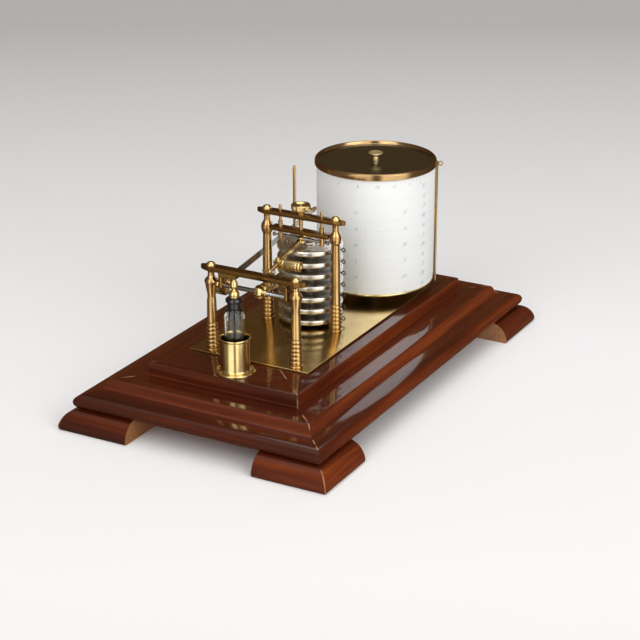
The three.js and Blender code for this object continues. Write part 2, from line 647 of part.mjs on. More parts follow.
// gear outline with straight-sided teeth; one tooth is centred on the phase angle
function gearOutline(teeth, tip, root, phase) {
  const pitch = (Math.PI * 2) / teeth;
  const thickness = 0.42 * pitch;
  const rootHalf = 0.5 * 1.25 * thickness;
  const tipHalf = 0.28 * thickness;
  const corners = [[root, -rootHalf], [tip, -tipHalf], [tip, tipHalf], [root, rootHalf]];
  return Array.from({ length: teeth }, (_, i) => corners.map(([radius, offset]) => {
    const angle = phase + i * pitch + offset;
    return [radius * Math.cos(angle), radius * Math.sin(angle)];
  })).flat();
}

addAtDrum('drum_spindle', latheZ([
  ...raised(PLATE.top, [[0, 0], [8.4, 0], [8.4, 0.9], [3.6, 1]]),
  [3.6, 51.4], [4.6, 51.5], [4.6, 53.2], [2.9, 53.3], [2.9, 138], [2.2, 139], [0, 139],
], 20), STEEL);
addAtDrum('fixed_wheel', plateZ(
  gearOutline(WHEEL_TEETH, 15.32, 14.3, PINION_ANGLE),
  [PLATE.top + 1.25, PLATE.top + 3.2], [ring(3.66, 20)],
), BRASS);

// open-topped shell with a bottom flange, a central tube and a hole for the pinion's arbor
function drum() {
  const { bottom, floor, top, radius } = DRUM;
  const shell = latheZ([
    [3, bottom], [46.6, bottom], [47.3, bottom + 0.5], [47.3, bottom + 1.5], [46.8, floor],
    [radius, floor], [radius, top], [44.9, top], [44.9, floor],
    [5.2, floor], [5.2, 84], [3, 84], [3, bottom],
  ], 40);
  return cut(shell, cylinderZ(1.45, [50, 60], PINION.x, PINION.y, 16));
}
addAtDrum('drum', drum(), BRASS);
addAtDrum('chart', latheZ([
  [CHART.inner, CHART.bottom], [CHART.outer, CHART.bottom],
  [CHART.outer, CHART.top], [CHART.inner, CHART.top], [CHART.inner, CHART.bottom],
], 40), PAPER);
addAtDrum('drum_lid', latheZ([
  [0, 149.8], [43.2, 149.8], [43.2, 146.8], [44.6, 146.8], [44.6, 149.8], [46.8, 149.8],
  [46.8, 148.4], [47.7, 148.4], [48.05, 148.9], [48.05, 151.4], [47.8, 152.5], [47.1, 153.4],
  [46.4, 153.6], [45.7, 153.3], [45.1, 152.3], [44.7, 151.2], [0, 151.2],
], 40), BRASS);
addAtDrum('lid_knob', latheZ([
  [0, 151.2], [2.7, 151.2], [2.2, 152.0], [2.4, 152.9], [2.1, 153.9], [1.25, 154.6],
  [1.3, 155.4], [3.0, 156.0], [5.1, 156.4], [5.75, 156.9], [5.6, 157.45], [4.8, 157.5],
  [2.6, 157.0], [0, 157.2],
], 24), BRASS);

// upright strip along the chart with a ring at its head, drawn at +X and turned into place
function chartClip() {
  const strip = plateY([
    [46.8, 56.0], [47.7, 56.0], [47.7, 50.6], [48.9, 50.2], [49.3, 51.4], [49.2, 60.0],
    [49.2, 146.0], [49.5, 149.6], [48.9, 150.4], [48.4, 150.2], [48.35, 148.3], [47.9, 147.7],
    [46.8, 147.6],
  ], around(0, 1.9));
  const crossBarrel = cylinderY(0.95, around(0, 2.3), 48.6, 57.6, 12);
  const loop = new THREE.TorusGeometry(1.6, 0.55, 6, 14).rotateX(Math.PI / 2);
  loop.translate(51, 0, 148.6);
  return union(strip, crossBarrel, bare(loop)).rotateZ(CHART_CLIP_ANGLE);
}
addAtDrum('chart_clip', chartClip(), BRASS);

// two round plates on three pillars, standing on the drum's floor
function clockFrame() {
  const lower = 57;
  const upper = 80;
  const disc = (z) => plateZ(ring(38, 28), [z, z + 1.6], [
    ring(5.5, 12), ring(1.45, 10, PINION.x, PINION.y), ring(2.7, 12, BARREL.x, BARREL.y),
  ]);
  const pillars = [[0, 33], [28.6, 16.5], [-8, -33]].flatMap(([x, y]) => [
    cylinderZ(2.2, [lower + 1, upper + 0.6], x, y, 12),
    cylinderZ(2.2, [DRUM.floor, lower + 0.6], x, y, 12),
  ]);
  return union(disc(lower), disc(upper), ...pillars);
}
addAtDrum('clock_frame', clockFrame(), BRASS);

// pinion under the drum, arbor through both plates, wheel between them
function drivePinion() {
  const { x, y, teeth } = PINION;
  const outline = gearOutline(teeth, 3.32, 2.3, PINION_ANGLE + Math.PI + Math.PI / teeth);
  return union(
    plateZ(outline, [PLATE.top + 1.4, PLATE.top + 3.05]).translate(x, y, 0),
    cylinderZ(1.3, [PLATE.top + 2, 82.4], x, y, 12),
    cylinderZ(7, [62, 63.4], x, y, 24),
  );
}
addAtDrum('drive_pinion', drivePinion(), STEEL);

addAtDrum('mainspring_barrel', cut(
  union(
    cylinderZ(14.5, [61, 76.5], BARREL.x, BARREL.y, 30),
    cylinderZ(16.4, [61, 62.6], BARREL.x, BARREL.y, 30),
  ),
  cylinderZ(2.66, [50, 90], BARREL.x, BARREL.y, 14),
), BRASS);
// round arbor with a square top
addAtDrum('winding_arbor', union(
  cylinderZ(2.55, [58.8, 90], BARREL.x, BARREL.y, 14),
  box(around(BARREL.x, 2.6), around(BARREL.y, 2.6), [90, 98]),
), STEEL);

export default barograph;
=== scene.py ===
"""Barograph: seven aneroid capsules drive a long pen arm over a clockwork drum.

Its length lies along X with the drum towards -X and the ink cup towards +X.
Front means -Y, back means +Y, and the bracket feet stand on z = 0.
Pieces are drawn in millimetres and scaled to metres when their meshes are made.
"""
import math
from collections import Counter, namedtuple

import bmesh
import bpy
from mathutils import Matrix, Vector
from mathutils.geometry import tessellate_polygon


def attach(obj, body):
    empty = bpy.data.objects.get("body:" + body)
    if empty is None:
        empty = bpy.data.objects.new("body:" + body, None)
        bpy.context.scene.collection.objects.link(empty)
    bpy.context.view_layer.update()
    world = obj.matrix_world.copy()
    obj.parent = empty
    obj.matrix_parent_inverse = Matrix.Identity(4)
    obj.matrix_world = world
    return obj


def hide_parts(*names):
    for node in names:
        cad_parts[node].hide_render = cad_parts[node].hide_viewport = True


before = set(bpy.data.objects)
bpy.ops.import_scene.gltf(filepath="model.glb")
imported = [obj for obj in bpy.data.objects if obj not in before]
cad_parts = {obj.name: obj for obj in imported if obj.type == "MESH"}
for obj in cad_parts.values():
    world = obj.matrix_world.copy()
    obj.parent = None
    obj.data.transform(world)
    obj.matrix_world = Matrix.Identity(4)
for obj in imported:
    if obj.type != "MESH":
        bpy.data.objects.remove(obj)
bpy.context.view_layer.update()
MM = 0.001

# =========================================================================
# driving dimensions, mm
# =========================================================================
SIDES = (("front", -1), ("back", 1))

LOWER_HALF = (154.4, 82.4)      # half sizes of the two boards, before their mouldings
UPPER_HALF = (134.2, 62.2)
UPPER_TOP = 45.2
FOOT_TOP = 15.4
PLATE_TOP = 47.0

# two pillars and a bar across them; reach is from the middle to each pillar
Frame = namedtuple("Frame", "kind x y reach bar_low bar_high")
TALL = Frame("tall", 18.0, 0.5, 29.4, 131.3, 134.6)
SHORT = Frame("short", 92.6, 2.4, 35.3, 108.6, 112.2)

GUIDE_REACH = 17.7              # from the tall frame's middle to each guide rod
HANGING_LOW, HANGING_HIGH = 119.3, 122.4
UPPER_AXIS = (TALL.x, 115.4)    # x, z of the lever's arbor
PEN_AXIS = (SHORT.x, 98.6)      # x, z of the pen arbor
LEVER_Y = 0.8
LEVER_ROOT = Vector((TALL.x, 115.0))
LEVER_END = Vector((65.4, 104.0))
LINK_X, LINK_TOP = 65.4, 104.0
CRANK_PIN_Z = 94.2

STACK_X, STACK_Y = 4.5, LEVER_Y
CAPSULES = 7
CAPSULE_RADIUS = 25.1
CAPSULE_PITCH = 9.2
CAPSULE_HALF = 2.2
CAPSULE_FIRST = 51.5            # height of the lowest capsule's middle

CUP = (118.3, 2.0, 0)
DRUM_X, DRUM_Y = -84.0, 10.9
DRUM = (DRUM_X, DRUM_Y, 0)
CHART_DATUM = 55.6              # height the chart's ruling is measured from

CAMERA = Vector((1.180744, 0.652616, 0.579357))     # metres
CAMERA_AZIMUTH = math.atan2(CAMERA.y, CAMERA.x)


# =========================================================================
# outlines: points are (x, y) or (x, y, own corner radius)
# =========================================================================
def fillet(points, radius, arc=3, closed=False):
    """rounds corners by a quadratic curve of arc steps; a point's own radius comes first"""
    out = []
    last = len(points) - 1
    for i, p in enumerate(points):
        own = p[2] if len(p) > 2 else radius
        before = points[i - 1]
        after = points[(i + 1) % len(points)]
        back = Vector((before[0] - p[0], before[1] - p[1]))
        ahead = Vector((after[0] - p[0], after[1] - p[1]))
        open_end = not closed and i in (0, last)
        if (open_end or own <= 0 or min(back.length, ahead.length) < 1e-6
                or back.angle(ahead) > math.radians(172)):
            out.append((p[0], p[1]))
            continue
        cut = own / math.tan(back.angle(ahead) / 2)
        cut = min(cut, back.length * 0.46, ahead.length * 0.46)
        corner = Vector((p[0], p[1]))
        start = corner + back.normalized() * cut
        end = corner + ahead.normalized() * cut
        for k in range(arc + 1):
            u = k / arc
            q = start * (1 - u) ** 2 + corner * 2 * u * (1 - u) + end * u ** 2
            out.append((q.x, q.y))
    return out


def rounded(points, radius, arc=3):
    """closed outline with rounded corners"""
    return fillet(points, radius, arc, closed=True)


def smooth_curve(points, steps=4):
    """Catmull-Rom curve through the points"""
    out = []
    padded = [Vector(p) for p in (points[0], *points, points[-1])]
    for p0, p1, p2, p3 in zip(padded, padded[1:], padded[2:], padded[3:]):
        for k in range(steps):
            t = k / steps
            q = 0.5 * ((2 * p1) + (-p0 + p2) * t + (2 * p0 - 5 * p1 + 4 * p2 - p3) * t * t
                       + (-p0 + 3 * p1 - 3 * p2 + p3) * t ** 3)
            out.append((q.x, q.y))
    out.append(points[-1])
    return out


def inset(outline, distance):
    """moves a counter-clockwise outline inwards"""
    out = []
    for i in range(len(outline)):
        a, b, c = [Vector(outline[j % len(outline)]) for j in (i - 1, i, i + 1)]
        e1 = (b - a).normalized()
        e2 = (c - b).normalized()
        n1 = Vector((-e1.y, e1.x))
        mitre = (n1 + Vector((-e2.y, e2.x))).normalized()
        out.append(tuple(b + mitre * (distance / max(0.35, mitre.dot(n1)))))
    return out


def signed_area(outline):
    return sum(a[0] * b[1] - b[0] * a[1] for a, b in zip(outline[-1:] + outline, outline))


def circle(radius, segments, centre=(0, 0)):
    angles = [2 * math.pi * k / segments for k in range(segments)]
    return [(centre[0] + radius * math.cos(a), centre[1] + radius * math.sin(a)) for a in angles]


def rectangle(x0, x1, y0, y1):
    return [(x0, y0), (x1, y0), (x1, y1), (x0, y1)]


def rounded_section(half_width, half_height, radius, arc):
    """rectangle about the origin with true circular corners"""
    out = []
    for sx, sy, start in ((1, 1, 0), (-1, 1, 90), (-1, -1, 180), (1, -1, 270)):
        for k in range(arc + 1):
            a = math.radians(start + 90 / arc * k)
            out.append((sx * (half_width - radius) + radius * math.cos(a),
                        sy * (half_height - radius) + radius * math.sin(a)))
    return out


def lifted(points, height, direction=1):
    """profile measured from a height; direction -1 turns it over and reverses its order"""
    out = [(p[0], height + direction * p[1], *p[2:]) for p in points]
    return out if direction > 0 else out[::-1]


# =========================================================================
# shells: each is (vertices, faces)
# =========================================================================
def along(verts, axis, centre=(0, 0, 0)):
    """stands shapes drawn about Z along another axis"""
    order = {"X": (2, 0, 1), "Y": (0, 2, 1), "Z": (0, 1, 2)}[axis]
    return [tuple(v[i] + c for i, c in zip(order, centre)) for v in verts]


def moved(shell, matrix):
    verts, faces = shell
    return [tuple(matrix @ Vector(v)) for v in verts], faces


def loft(rings, closed=False, caps=True):
    """joins equal rings of points in order"""
    n = len(rings[0])
    last = (len(rings) - 1) * n
    faces = []
    for i in range(len(rings) if closed else len(rings) - 1):
        a = i * n
        b = (i + 1) % len(rings) * n
        for k in range(n):
            j = (k + 1) % n
            faces.append((a + k, a + j, b + j, b + k))
    if caps and not closed:
        faces += [tuple(reversed(range(n))), tuple(range(last, last + n))]
    return [p for ring in rings for p in ring], faces


def lathe(profile, segments, centre=(0, 0, 0), axis="Z", closed=False, arc=3):
    """solid of revolution; profile of (radius, height[, corner radius])"""
    verts, rings, faces = [], [], []
    for radius, height in fillet(profile, 0.15, arc, closed):
        count = 1 if radius < 1e-6 else segments
        rings.append(range(len(verts), len(verts) + count))
        verts += [(x, y, height) for x, y in circle(radius, count)]
    for i in range(len(rings) if closed else len(rings) - 1):
        a, b = rings[i], rings[(i + 1) % len(rings)]
        for k in range(segments):
            j = (k + 1) % segments
            if len(a) == 1:
                faces.append((a[0], b[k], b[j]))
            elif len(b) == 1:
                faces.append((a[k], a[j], b[0]))
            else:
                faces.append((a[k], a[j], b[j], b[k]))
    return along(verts, axis, centre), faces


def pin(radius, start, end, segments, centre, axis="Y", corner=0.15):
    """plain round pin between two places on its axis"""
    profile = [(0, start, 0), (radius, start, corner), (radius, end, corner), (0, end, 0)]
    return lathe(profile, segments, centre, axis)


def prism(outline, low, high, bevel, holes=(), axis="Z", steps=2):
    """outline raised along an axis, outer edges rounded, holes left sharp"""
    outline = list(outline)
    if signed_area(outline) < 0:
        outline.reverse()
    n = len(outline)
    angles = [math.pi / 2 * k / steps for k in range(steps + 1)]
    levels = [(a, low + bevel * (1 - math.cos(a))) for a in angles]
    levels += [(a, high - bevel * (1 - math.cos(a))) for a in reversed(angles)]
    rings = []
    for a, height in levels:
        depth = bevel * (1 - math.sin(a))
        ring = inset(outline, depth) if depth > 1e-9 else outline
        rings.append([(x, y, height) for x, y in ring])
    verts, faces = loft(rings, caps=False)
    bottom = [list(range(n))]
    top = [list(range(len(verts) - n, len(verts)))]
    for hole in holes:
        m = len(hole)
        lo = list(range(len(verts), len(verts) + m))
        hi = [i + m for i in lo]
        verts += [(x, y, low) for x, y in hole] + [(x, y, high) for x, y in hole]
        faces += [(lo[k], hi[k], hi[(k + 1) % m], lo[(k + 1) % m]) for k in range(m)]
        bottom.append(lo)
        top.append(hi)
    if not holes:
        faces += [tuple(reversed(bottom[0])), tuple(top[0])]
    else:
        for loops in (bottom, top):
            flat = [i for loop in loops for i in loop]
            flat_loops = [[Vector((*verts[i][:2], 0)) for i in loop] for loop in loops]
            for triangle in tessellate_polygon(flat_loops):
                face = tuple(flat[i] for i in triangle)
                faces.append(face if loops is top else face[::-1])
    return along(verts, axis), faces


def box(x0, x1, y0, y1, z0, z1, bevel):
    return prism(rectangle(x0, x1, y0, y1), z0, z1, bevel)


def tube(path, radii, segments, closed=False):
    """round wire along 3-D points, with one radius for each"""
    points = [Vector(p) for p in path]
    n = len(points)
    rings = []
    side = None
    for i, (point, radius) in enumerate(zip(points, radii)):
        if closed:
            ahead = (points[(i + 1) % n] - points[i - 1]).normalized()
        else:
            ahead = (points[min(i + 1, n - 1)] - points[max(i - 1, 0)]).normalized()
        if side is None:
            side = ahead.cross(Vector((0, 0, 1)))
            if side.length < 0.2:
                side = ahead.cross(Vector((1, 0, 0)))
            side.normalize()
        else:
            side = (side - ahead * side.dot(ahead)).normalized()
        up = ahead.cross(side)
        angles = [2 * math.pi * k / segments for k in range(segments)]
        rings.append([tuple(point + (side * math.cos(a) + up * math.sin(a)) * radius)
                      for a in angles])
    return loft(rings, closed)


def rectangular_moulding(profile, half_x, half_y):
    """profile of (outward offset, height) swept round a rectangle with mitred corners"""
    return loft([[(half_x + o, half_y + o, z), (-(half_x + o), half_y + o, z),
                  (-(half_x + o), -(half_y + o), z), (half_x + o, -(half_y + o), z)]
                 for o, z in profile])


# =========================================================================
# node building
# =========================================================================
BLACK, WHITE = (0, 0, 0), (1, 1, 1)


def srgb(*channels):
    """0-255 screen colour as linear light"""
    return tuple(((c / 255 + 0.055) / 1.055) ** 2.4 if c > 10 else c / 255 / 12.92
                 for c in channels)


class Nodes:
    """short calls that add nodes to one tree and return output sockets"""

    def __init__(self, tree):
        self.tree = tree
        tree.nodes.clear()

    def add(self, kind, **settings):
        node = self.tree.nodes.new(kind)
        for name, value in settings.items():
            setattr(node, name, value)
        return node

    def feed(self, socket, value):
        """links a socket, or sets a plain value"""
        if isinstance(value, bpy.types.NodeSocket):
            self.tree.links.new(value, socket)
        else:
            socket.default_value = value

    def calc(self, operation, a, b=0.0, clamp=False):
        node = self.add("ShaderNodeMath", operation=operation, use_clamp=clamp)
        self.feed(node.inputs[0], a)
        self.feed(node.inputs[1], b)
        return node.outputs[0]

    def plus(self, a, b, clamp=False):
        return self.calc("ADD", a, b, clamp)

    def minus(self, a, b):
        return self.calc("SUBTRACT", a, b)

    def times(self, a, b, clamp=False):
        return self.calc("MULTIPLY", a, b, clamp)

    def remap(self, value, span, to=(0.0, 1.0), **settings):
        node = self.add("ShaderNodeMapRange", **settings)
        for socket, v in zip(node.inputs, (value, *span, *to)):
            self.feed(socket, v)
        return node.outputs[0]

    def mix(self, factor, a, b):
        node = self.add("ShaderNodeMix", data_type="RGBA")
        self.feed(node.inputs["Factor"], factor)
        for socket, v in ((node.inputs[6], a), (node.inputs[7], b)):
            self.feed(socket, (*v, 1.0) if isinstance(v, tuple) else v)
        return node.outputs[2]

    def split(self, vector):
        node = self.add("ShaderNodeSeparateXYZ")
        self.feed(node.inputs[0], vector)
        return node.outputs


class Material(Nodes):
    """a principled material textured in object space, in metres"""

    def __init__(self, name):
        self.material = bpy.data.materials.new(name)
        self.material.use_nodes = True
        super().__init__(self.material.node_tree)
        output = self.add("ShaderNodeOutputMaterial")
        self.shader = self.add("ShaderNodeBsdfPrincipled")
        self.feed(output.inputs[0], self.shader.outputs[0])
        self.place = self.add("ShaderNodeTexCoord").outputs["Object"]

    def surface(self, settings):
        for name, value in settings.items():
            self.feed(self.shader.inputs[name], value)

    def mapping(self, scale=(1, 1, 1), location=(0, 0, 0)):
        node = self.add("ShaderNodeMapping")
        self.feed(node.inputs[0], self.place)
        node.inputs["Scale"].default_value = scale
        node.inputs["Location"].default_value = location
        return node.outputs[0]

    def noise(self, where, scale, detail, roughness, distortion=0.0):
        node = self.add("ShaderNodeTexNoise")
        for name, value in (("Vector", where), ("Scale", scale), ("Detail", detail),
                            ("Roughness", roughness), ("Distortion", distortion)):
            self.feed(node.inputs[name], value)
        return node.outputs["Fac"]

    def ramp(self, value, stops):
        node = self.add("ShaderNodeValToRGB")
        elements = node.color_ramp.elements
        while len(elements) < len(stops):
            elements.new(0.5)
        for element, (position, colour) in zip(elements, stops):
            element.position = position
            element.color = (*colour, 1.0)
        self.feed(node.inputs[0], value)
        return node.outputs[0]

    def specks(self, where, scale, low, high, detail=2.0):
        """white spots where fine noise climbs from low to high"""
        noise = self.noise(where, scale=scale, detail=detail, roughness=0.5)
        return self.ramp(noise, [(low, BLACK), (high, WHITE)])

    def bump(self, height, strength, distance):
        node = self.add("ShaderNodeBump")
        for name, value in (("Height", height), ("Strength", strength), ("Distance", distance)):
            self.feed(node.inputs[name], value)
        return node.outputs[0]

    def dark_hollows(self, colour, span, amount, shade=(84, 56, 24)):
        """darker colour where the surface is hollow"""
        geometry = self.add("ShaderNodeNewGeometry")
        hollow = self.remap(geometry.outputs["Pointiness"], span=span, to=(1.0, 0.0))
        return self.mix(self.times(hollow, amount, clamp=True), colour, srgb(*shade))

    def metal(self, colour, roughness, normal):
        self.surface({"Base Color": colour, "Metallic": 1.0, "Roughness": roughness,
                      "Normal": normal})
        return self.material


# =========================================================================
# metals
# =========================================================================
def brass(name, light=(232, 210, 152), dark=(186, 148, 86), roughness=0.16, bump=0.05,
          tone=0.5, hollows=True, sunk=None):
    m = Material(name)
    where = m.mapping()
    patch = m.noise(where, scale=38.0, detail=5.0, roughness=0.6, distortion=0.4)
    fine = m.noise(where, scale=420.0, detail=3.0, roughness=0.6)
    mottle = m.remap(patch, span=(0.32, 0.72))
    colour = m.mix(m.times(mottle, tone), srgb(*light), srgb(*dark))
    # small darker freckles where the lacquer has gone
    freckles = m.specks(where, scale=900.0, low=0.60, high=0.68)
    colour = m.mix(m.times(freckles, 0.3), colour, srgb(128, 92, 44))
    if hollows:
        colour = m.dark_hollows(colour, span=(0.44, 0.50), amount=0.55)
    if sunk:
        # the sunk face of the lid has toned to a neutral grey inside its bead
        x, y, _ = m.split(m.place)
        x = m.minus(x, DRUM_X * MM)
        y = m.minus(y, DRUM_Y * MM)
        radius = m.calc("SQRT", m.plus(m.times(x, x), m.times(y, y)))
        inside = m.remap(radius, span=(44.4 * MM, 44.8 * MM), to=(1.0, 0.0))
        grey = m.mix(mottle, srgb(*sunk), srgb(*[c * 0.86 for c in sunk]))
        colour = m.mix(m.times(inside, 1.0, clamp=True), colour, grey)
    rough = m.plus(m.times(patch, 0.16), roughness - 0.05)
    rough = m.plus(rough, m.times(fine, 0.05))
    height = m.plus(m.times(fine, 0.4), patch)
    return m.metal(colour, rough, m.bump(height, strength=bump, distance=0.0006))


def turned_brass(name, light=(232, 210, 152), dark=(186, 150, 88), roughness=0.16, bump=0.06):
    """brass with fine tool marks running round the turned piece"""
    m = Material(name)
    patch = m.noise(m.mapping(), scale=44.0, detail=5.0, roughness=0.6, distortion=0.5)
    height_only = m.add("ShaderNodeCombineXYZ")
    m.feed(height_only.inputs[2], m.split(m.place)[2])
    groove = m.noise(height_only.outputs[0], scale=5200.0, detail=2.0, roughness=0.6)
    mottle = m.times(m.remap(patch, span=(0.3, 0.75)), 0.55)
    colour = m.mix(mottle, srgb(*light), srgb(*dark))
    colour = m.dark_hollows(colour, span=(0.43, 0.495), amount=0.75)
    rough = m.plus(m.times(patch, 0.14), roughness - 0.04)
    height = m.plus(groove, m.times(patch, 0.8))
    return m.metal(colour, rough, m.bump(height, strength=bump, distance=0.0004))


def steel(name, light=(206, 208, 210), dark=(140, 142, 144), roughness=0.2, grain="Y"):
    """steel brushed along one axis, with brown spots"""
    m = Material(name)
    where = m.mapping()
    stretch = tuple(25.0 if axis == grain else 900.0 for axis in "XYZ")
    streak = m.noise(m.mapping(stretch), scale=1.0, detail=3.0, roughness=0.6)
    patch = m.noise(where, scale=60.0, detail=4.0, roughness=0.6)
    mottle = m.remap(patch, span=(0.35, 0.7), to=(0.0, 0.8))
    colour = m.mix(mottle, srgb(*light), srgb(*dark))
    spots = m.specks(where, scale=700.0, low=0.62, high=0.70)
    colour = m.mix(m.times(spots, 0.3), colour, srgb(84, 70, 56))
    rough = m.plus(m.times(streak, 0.16), roughness - 0.05)
    return m.metal(colour, rough, m.bump(streak, strength=0.05, distance=0.0003))


def nickel(name):
    m = Material(name)
    where = m.mapping()
    patch = m.noise(where, scale=55.0, detail=5.0, roughness=0.62, distortion=0.5)
    fine = m.noise(where, scale=500.0, detail=3.0, roughness=0.6)
    mottle = m.remap(patch, span=(0.3, 0.7))
    colour = m.mix(mottle, srgb(214, 210, 204), srgb(184, 178, 168))
    colour = m.dark_hollows(colour, span=(0.42, 0.49), amount=0.6, shade=(92, 84, 70))
    rough = m.plus(m.times(patch, 0.16), 0.20)
    height = m.plus(patch, m.times(fine, 0.25))
    return m.metal(colour, rough, m.bump(height, strength=0.06, distance=0.0006))


# =========================================================================
# wood, paper, glass
# =========================================================================
def mahogany(name, half, tone, wear_and_highlight, seed, sawn_ends=False):
    """polished figured wood whose grain turns at the mitres of a board of this half size"""
    m = Material(name)
    x, y, z = m.split(m.place)
    abs_x = m.calc("ABSOLUTE", x)
    abs_y = m.calc("ABSOLUTE", y)
    past_mitre = m.minus(m.minus(abs_x, abs_y), (half[0] - half[1]) * MM)
    end = m.calc("GREATER_THAN", past_mitre, 0.0)
    rest = m.minus(1.0, end)
    with_grain = m.plus(m.times(x, rest), m.times(y, end))
    across = m.plus(m.times(y, rest), m.times(x, end))
    wobble = m.noise(m.mapping(location=(seed, 0, 0)), scale=9.0, detail=2.0, roughness=0.5)
    across = m.plus(across, m.times(wobble, 0.010))

    def stretched(lengthwise, crosswise, offset):
        """coordinates scaled with and across the grain"""
        node = m.add("ShaderNodeCombineXYZ")
        m.feed(node.inputs[0], m.times(with_grain, lengthwise))
        m.feed(node.inputs[1], m.plus(m.times(across, crosswise), offset + seed))
        m.feed(node.inputs[2], m.times(z, crosswise))
        return node.outputs[0]

    bands = m.noise(stretched(4.0, 42.0, 0.0), scale=1.0, detail=4.0, roughness=0.55)
    streak = m.noise(stretched(9.0, 260.0, 3.1), scale=1.0, detail=4.0, roughness=0.6)
    fibre = m.noise(stretched(60.0, 1500.0, 7.7), scale=1.0, detail=2.0, roughness=0.6)
    pores = m.specks(stretched(150.0, 2600.0, 1.3), scale=1.0, low=0.60, high=0.70, detail=1.0)
    figure = m.plus(m.times(bands, 0.62), m.times(streak, 0.38))
    shades = ((0.32, (52, 16, 5)), (0.45, (82, 28, 7)), (0.56, (112, 44, 11)),
              (0.68, (140, 64, 18)))
    colour = m.ramp(figure, [(at, srgb(*[c * tone for c in shade])) for at, shade in shades])
    colour = m.mix(m.remap(fibre, span=(0.35, 0.7), to=(0.0, 0.25)), colour, srgb(60, 22, 10))
    colour = m.mix(m.times(pores, 0.30), colour, srgb(30, 11, 6))

    # painted shade: the flat tops, and the faces turned along X, are darkened in colour to stand
    # in for the light that falls less on them
    geometry = m.add("ShaderNodeNewGeometry").outputs
    top = m.remap(m.split(geometry["Normal"])[2], span=(0.75, 0.98), to=(0.0, 0.55))
    colour = m.mix(top, colour, srgb(44, 15, 8))
    # painted shade on the faces turned along X
    facing_x = m.calc("ABSOLUTE", m.split(geometry["Normal"])[0])
    colour = m.mix(m.remap(facing_x, span=(0.5, 0.9), to=(0.0, 0.22)), colour, srgb(50, 18, 10))

    # pale line at the mitres, partly rubbed wear and partly a painted highlight; the strength on
    # sharp edges is set to nothing
    edge_rub_strength = 0.0
    edges = m.remap(geometry["Pointiness"], span=(0.53, 0.62))
    worn = m.noise(m.mapping(), scale=170.0, detail=4.0, roughness=0.6)
    breakup = m.remap(worn, span=(0.46, 0.62))
    rub_and_highlight = m.times(m.times(edges, breakup, clamp=True), edge_rub_strength)
    near = m.remap(m.calc("ABSOLUTE", past_mitre), span=(0.0002, 0.0009), to=(1.0, 0.0))
    spots = m.noise(m.mapping(location=(0.3, 0.1, 0.7)), scale=75.0, detail=2.0, roughness=0.5)
    spots = m.remap(spots, span=(0.50, 0.60))
    rub_and_highlight = m.calc("MAXIMUM", rub_and_highlight, m.times(m.times(near, spots), 0.8 * wear_and_highlight))
    # painted highlight mixed with wear: pale colour along the mitre corners
    colour = m.mix(rub_and_highlight, colour, srgb(206, 158, 122))

    if sawn_ends:
        # sawn end of each foot: paler, with the ends of the vessels showing
        def facing(axis, distance, limit):
            normal = m.calc("ABSOLUTE", m.split(geometry["True Normal"])[axis])
            return m.times(m.calc("GREATER_THAN", normal, 0.98),
                           m.calc("LESS_THAN", distance, limit))

        cut_x = m.times(facing(0, abs_x, 0.150), 1.0)
        cut_y = facing(1, abs_y, 0.080)
        dots = m.noise(m.mapping(), scale=1400.0, detail=2.0, roughness=0.5)
        dots = m.remap(dots, span=(0.40, 0.62), to=(0.0, 0.8))
        tan = m.mix(dots, srgb(188, 132, 84), srgb(96, 50, 26))
        colour = m.mix(m.times(m.calc("MAXIMUM", cut_x, cut_y), 0.75), colour, tan)

    waves = m.noise(m.mapping(), scale=60.0, detail=2.0, roughness=0.5)
    polish = m.plus(waves, m.times(streak, 0.10))
    grain = m.minus(m.times(fibre, 0.5), m.times(pores, 0.6))
    m.surface({
        "Base Color": colour,
        "Roughness": m.plus(m.times(fibre, 0.15), 0.34),
        "Specular IOR Level": 0.04,
        "Coat Weight": 0.8,
        "Coat Roughness": m.plus(m.times(breakup, 0.05), 0.05),
        "Coat IOR": 1.54,
        "Coat Normal": m.bump(polish, strength=0.07, distance=0.0012),
        "Normal": m.bump(grain, strength=0.25, distance=0.0003),
    })
    return m.material


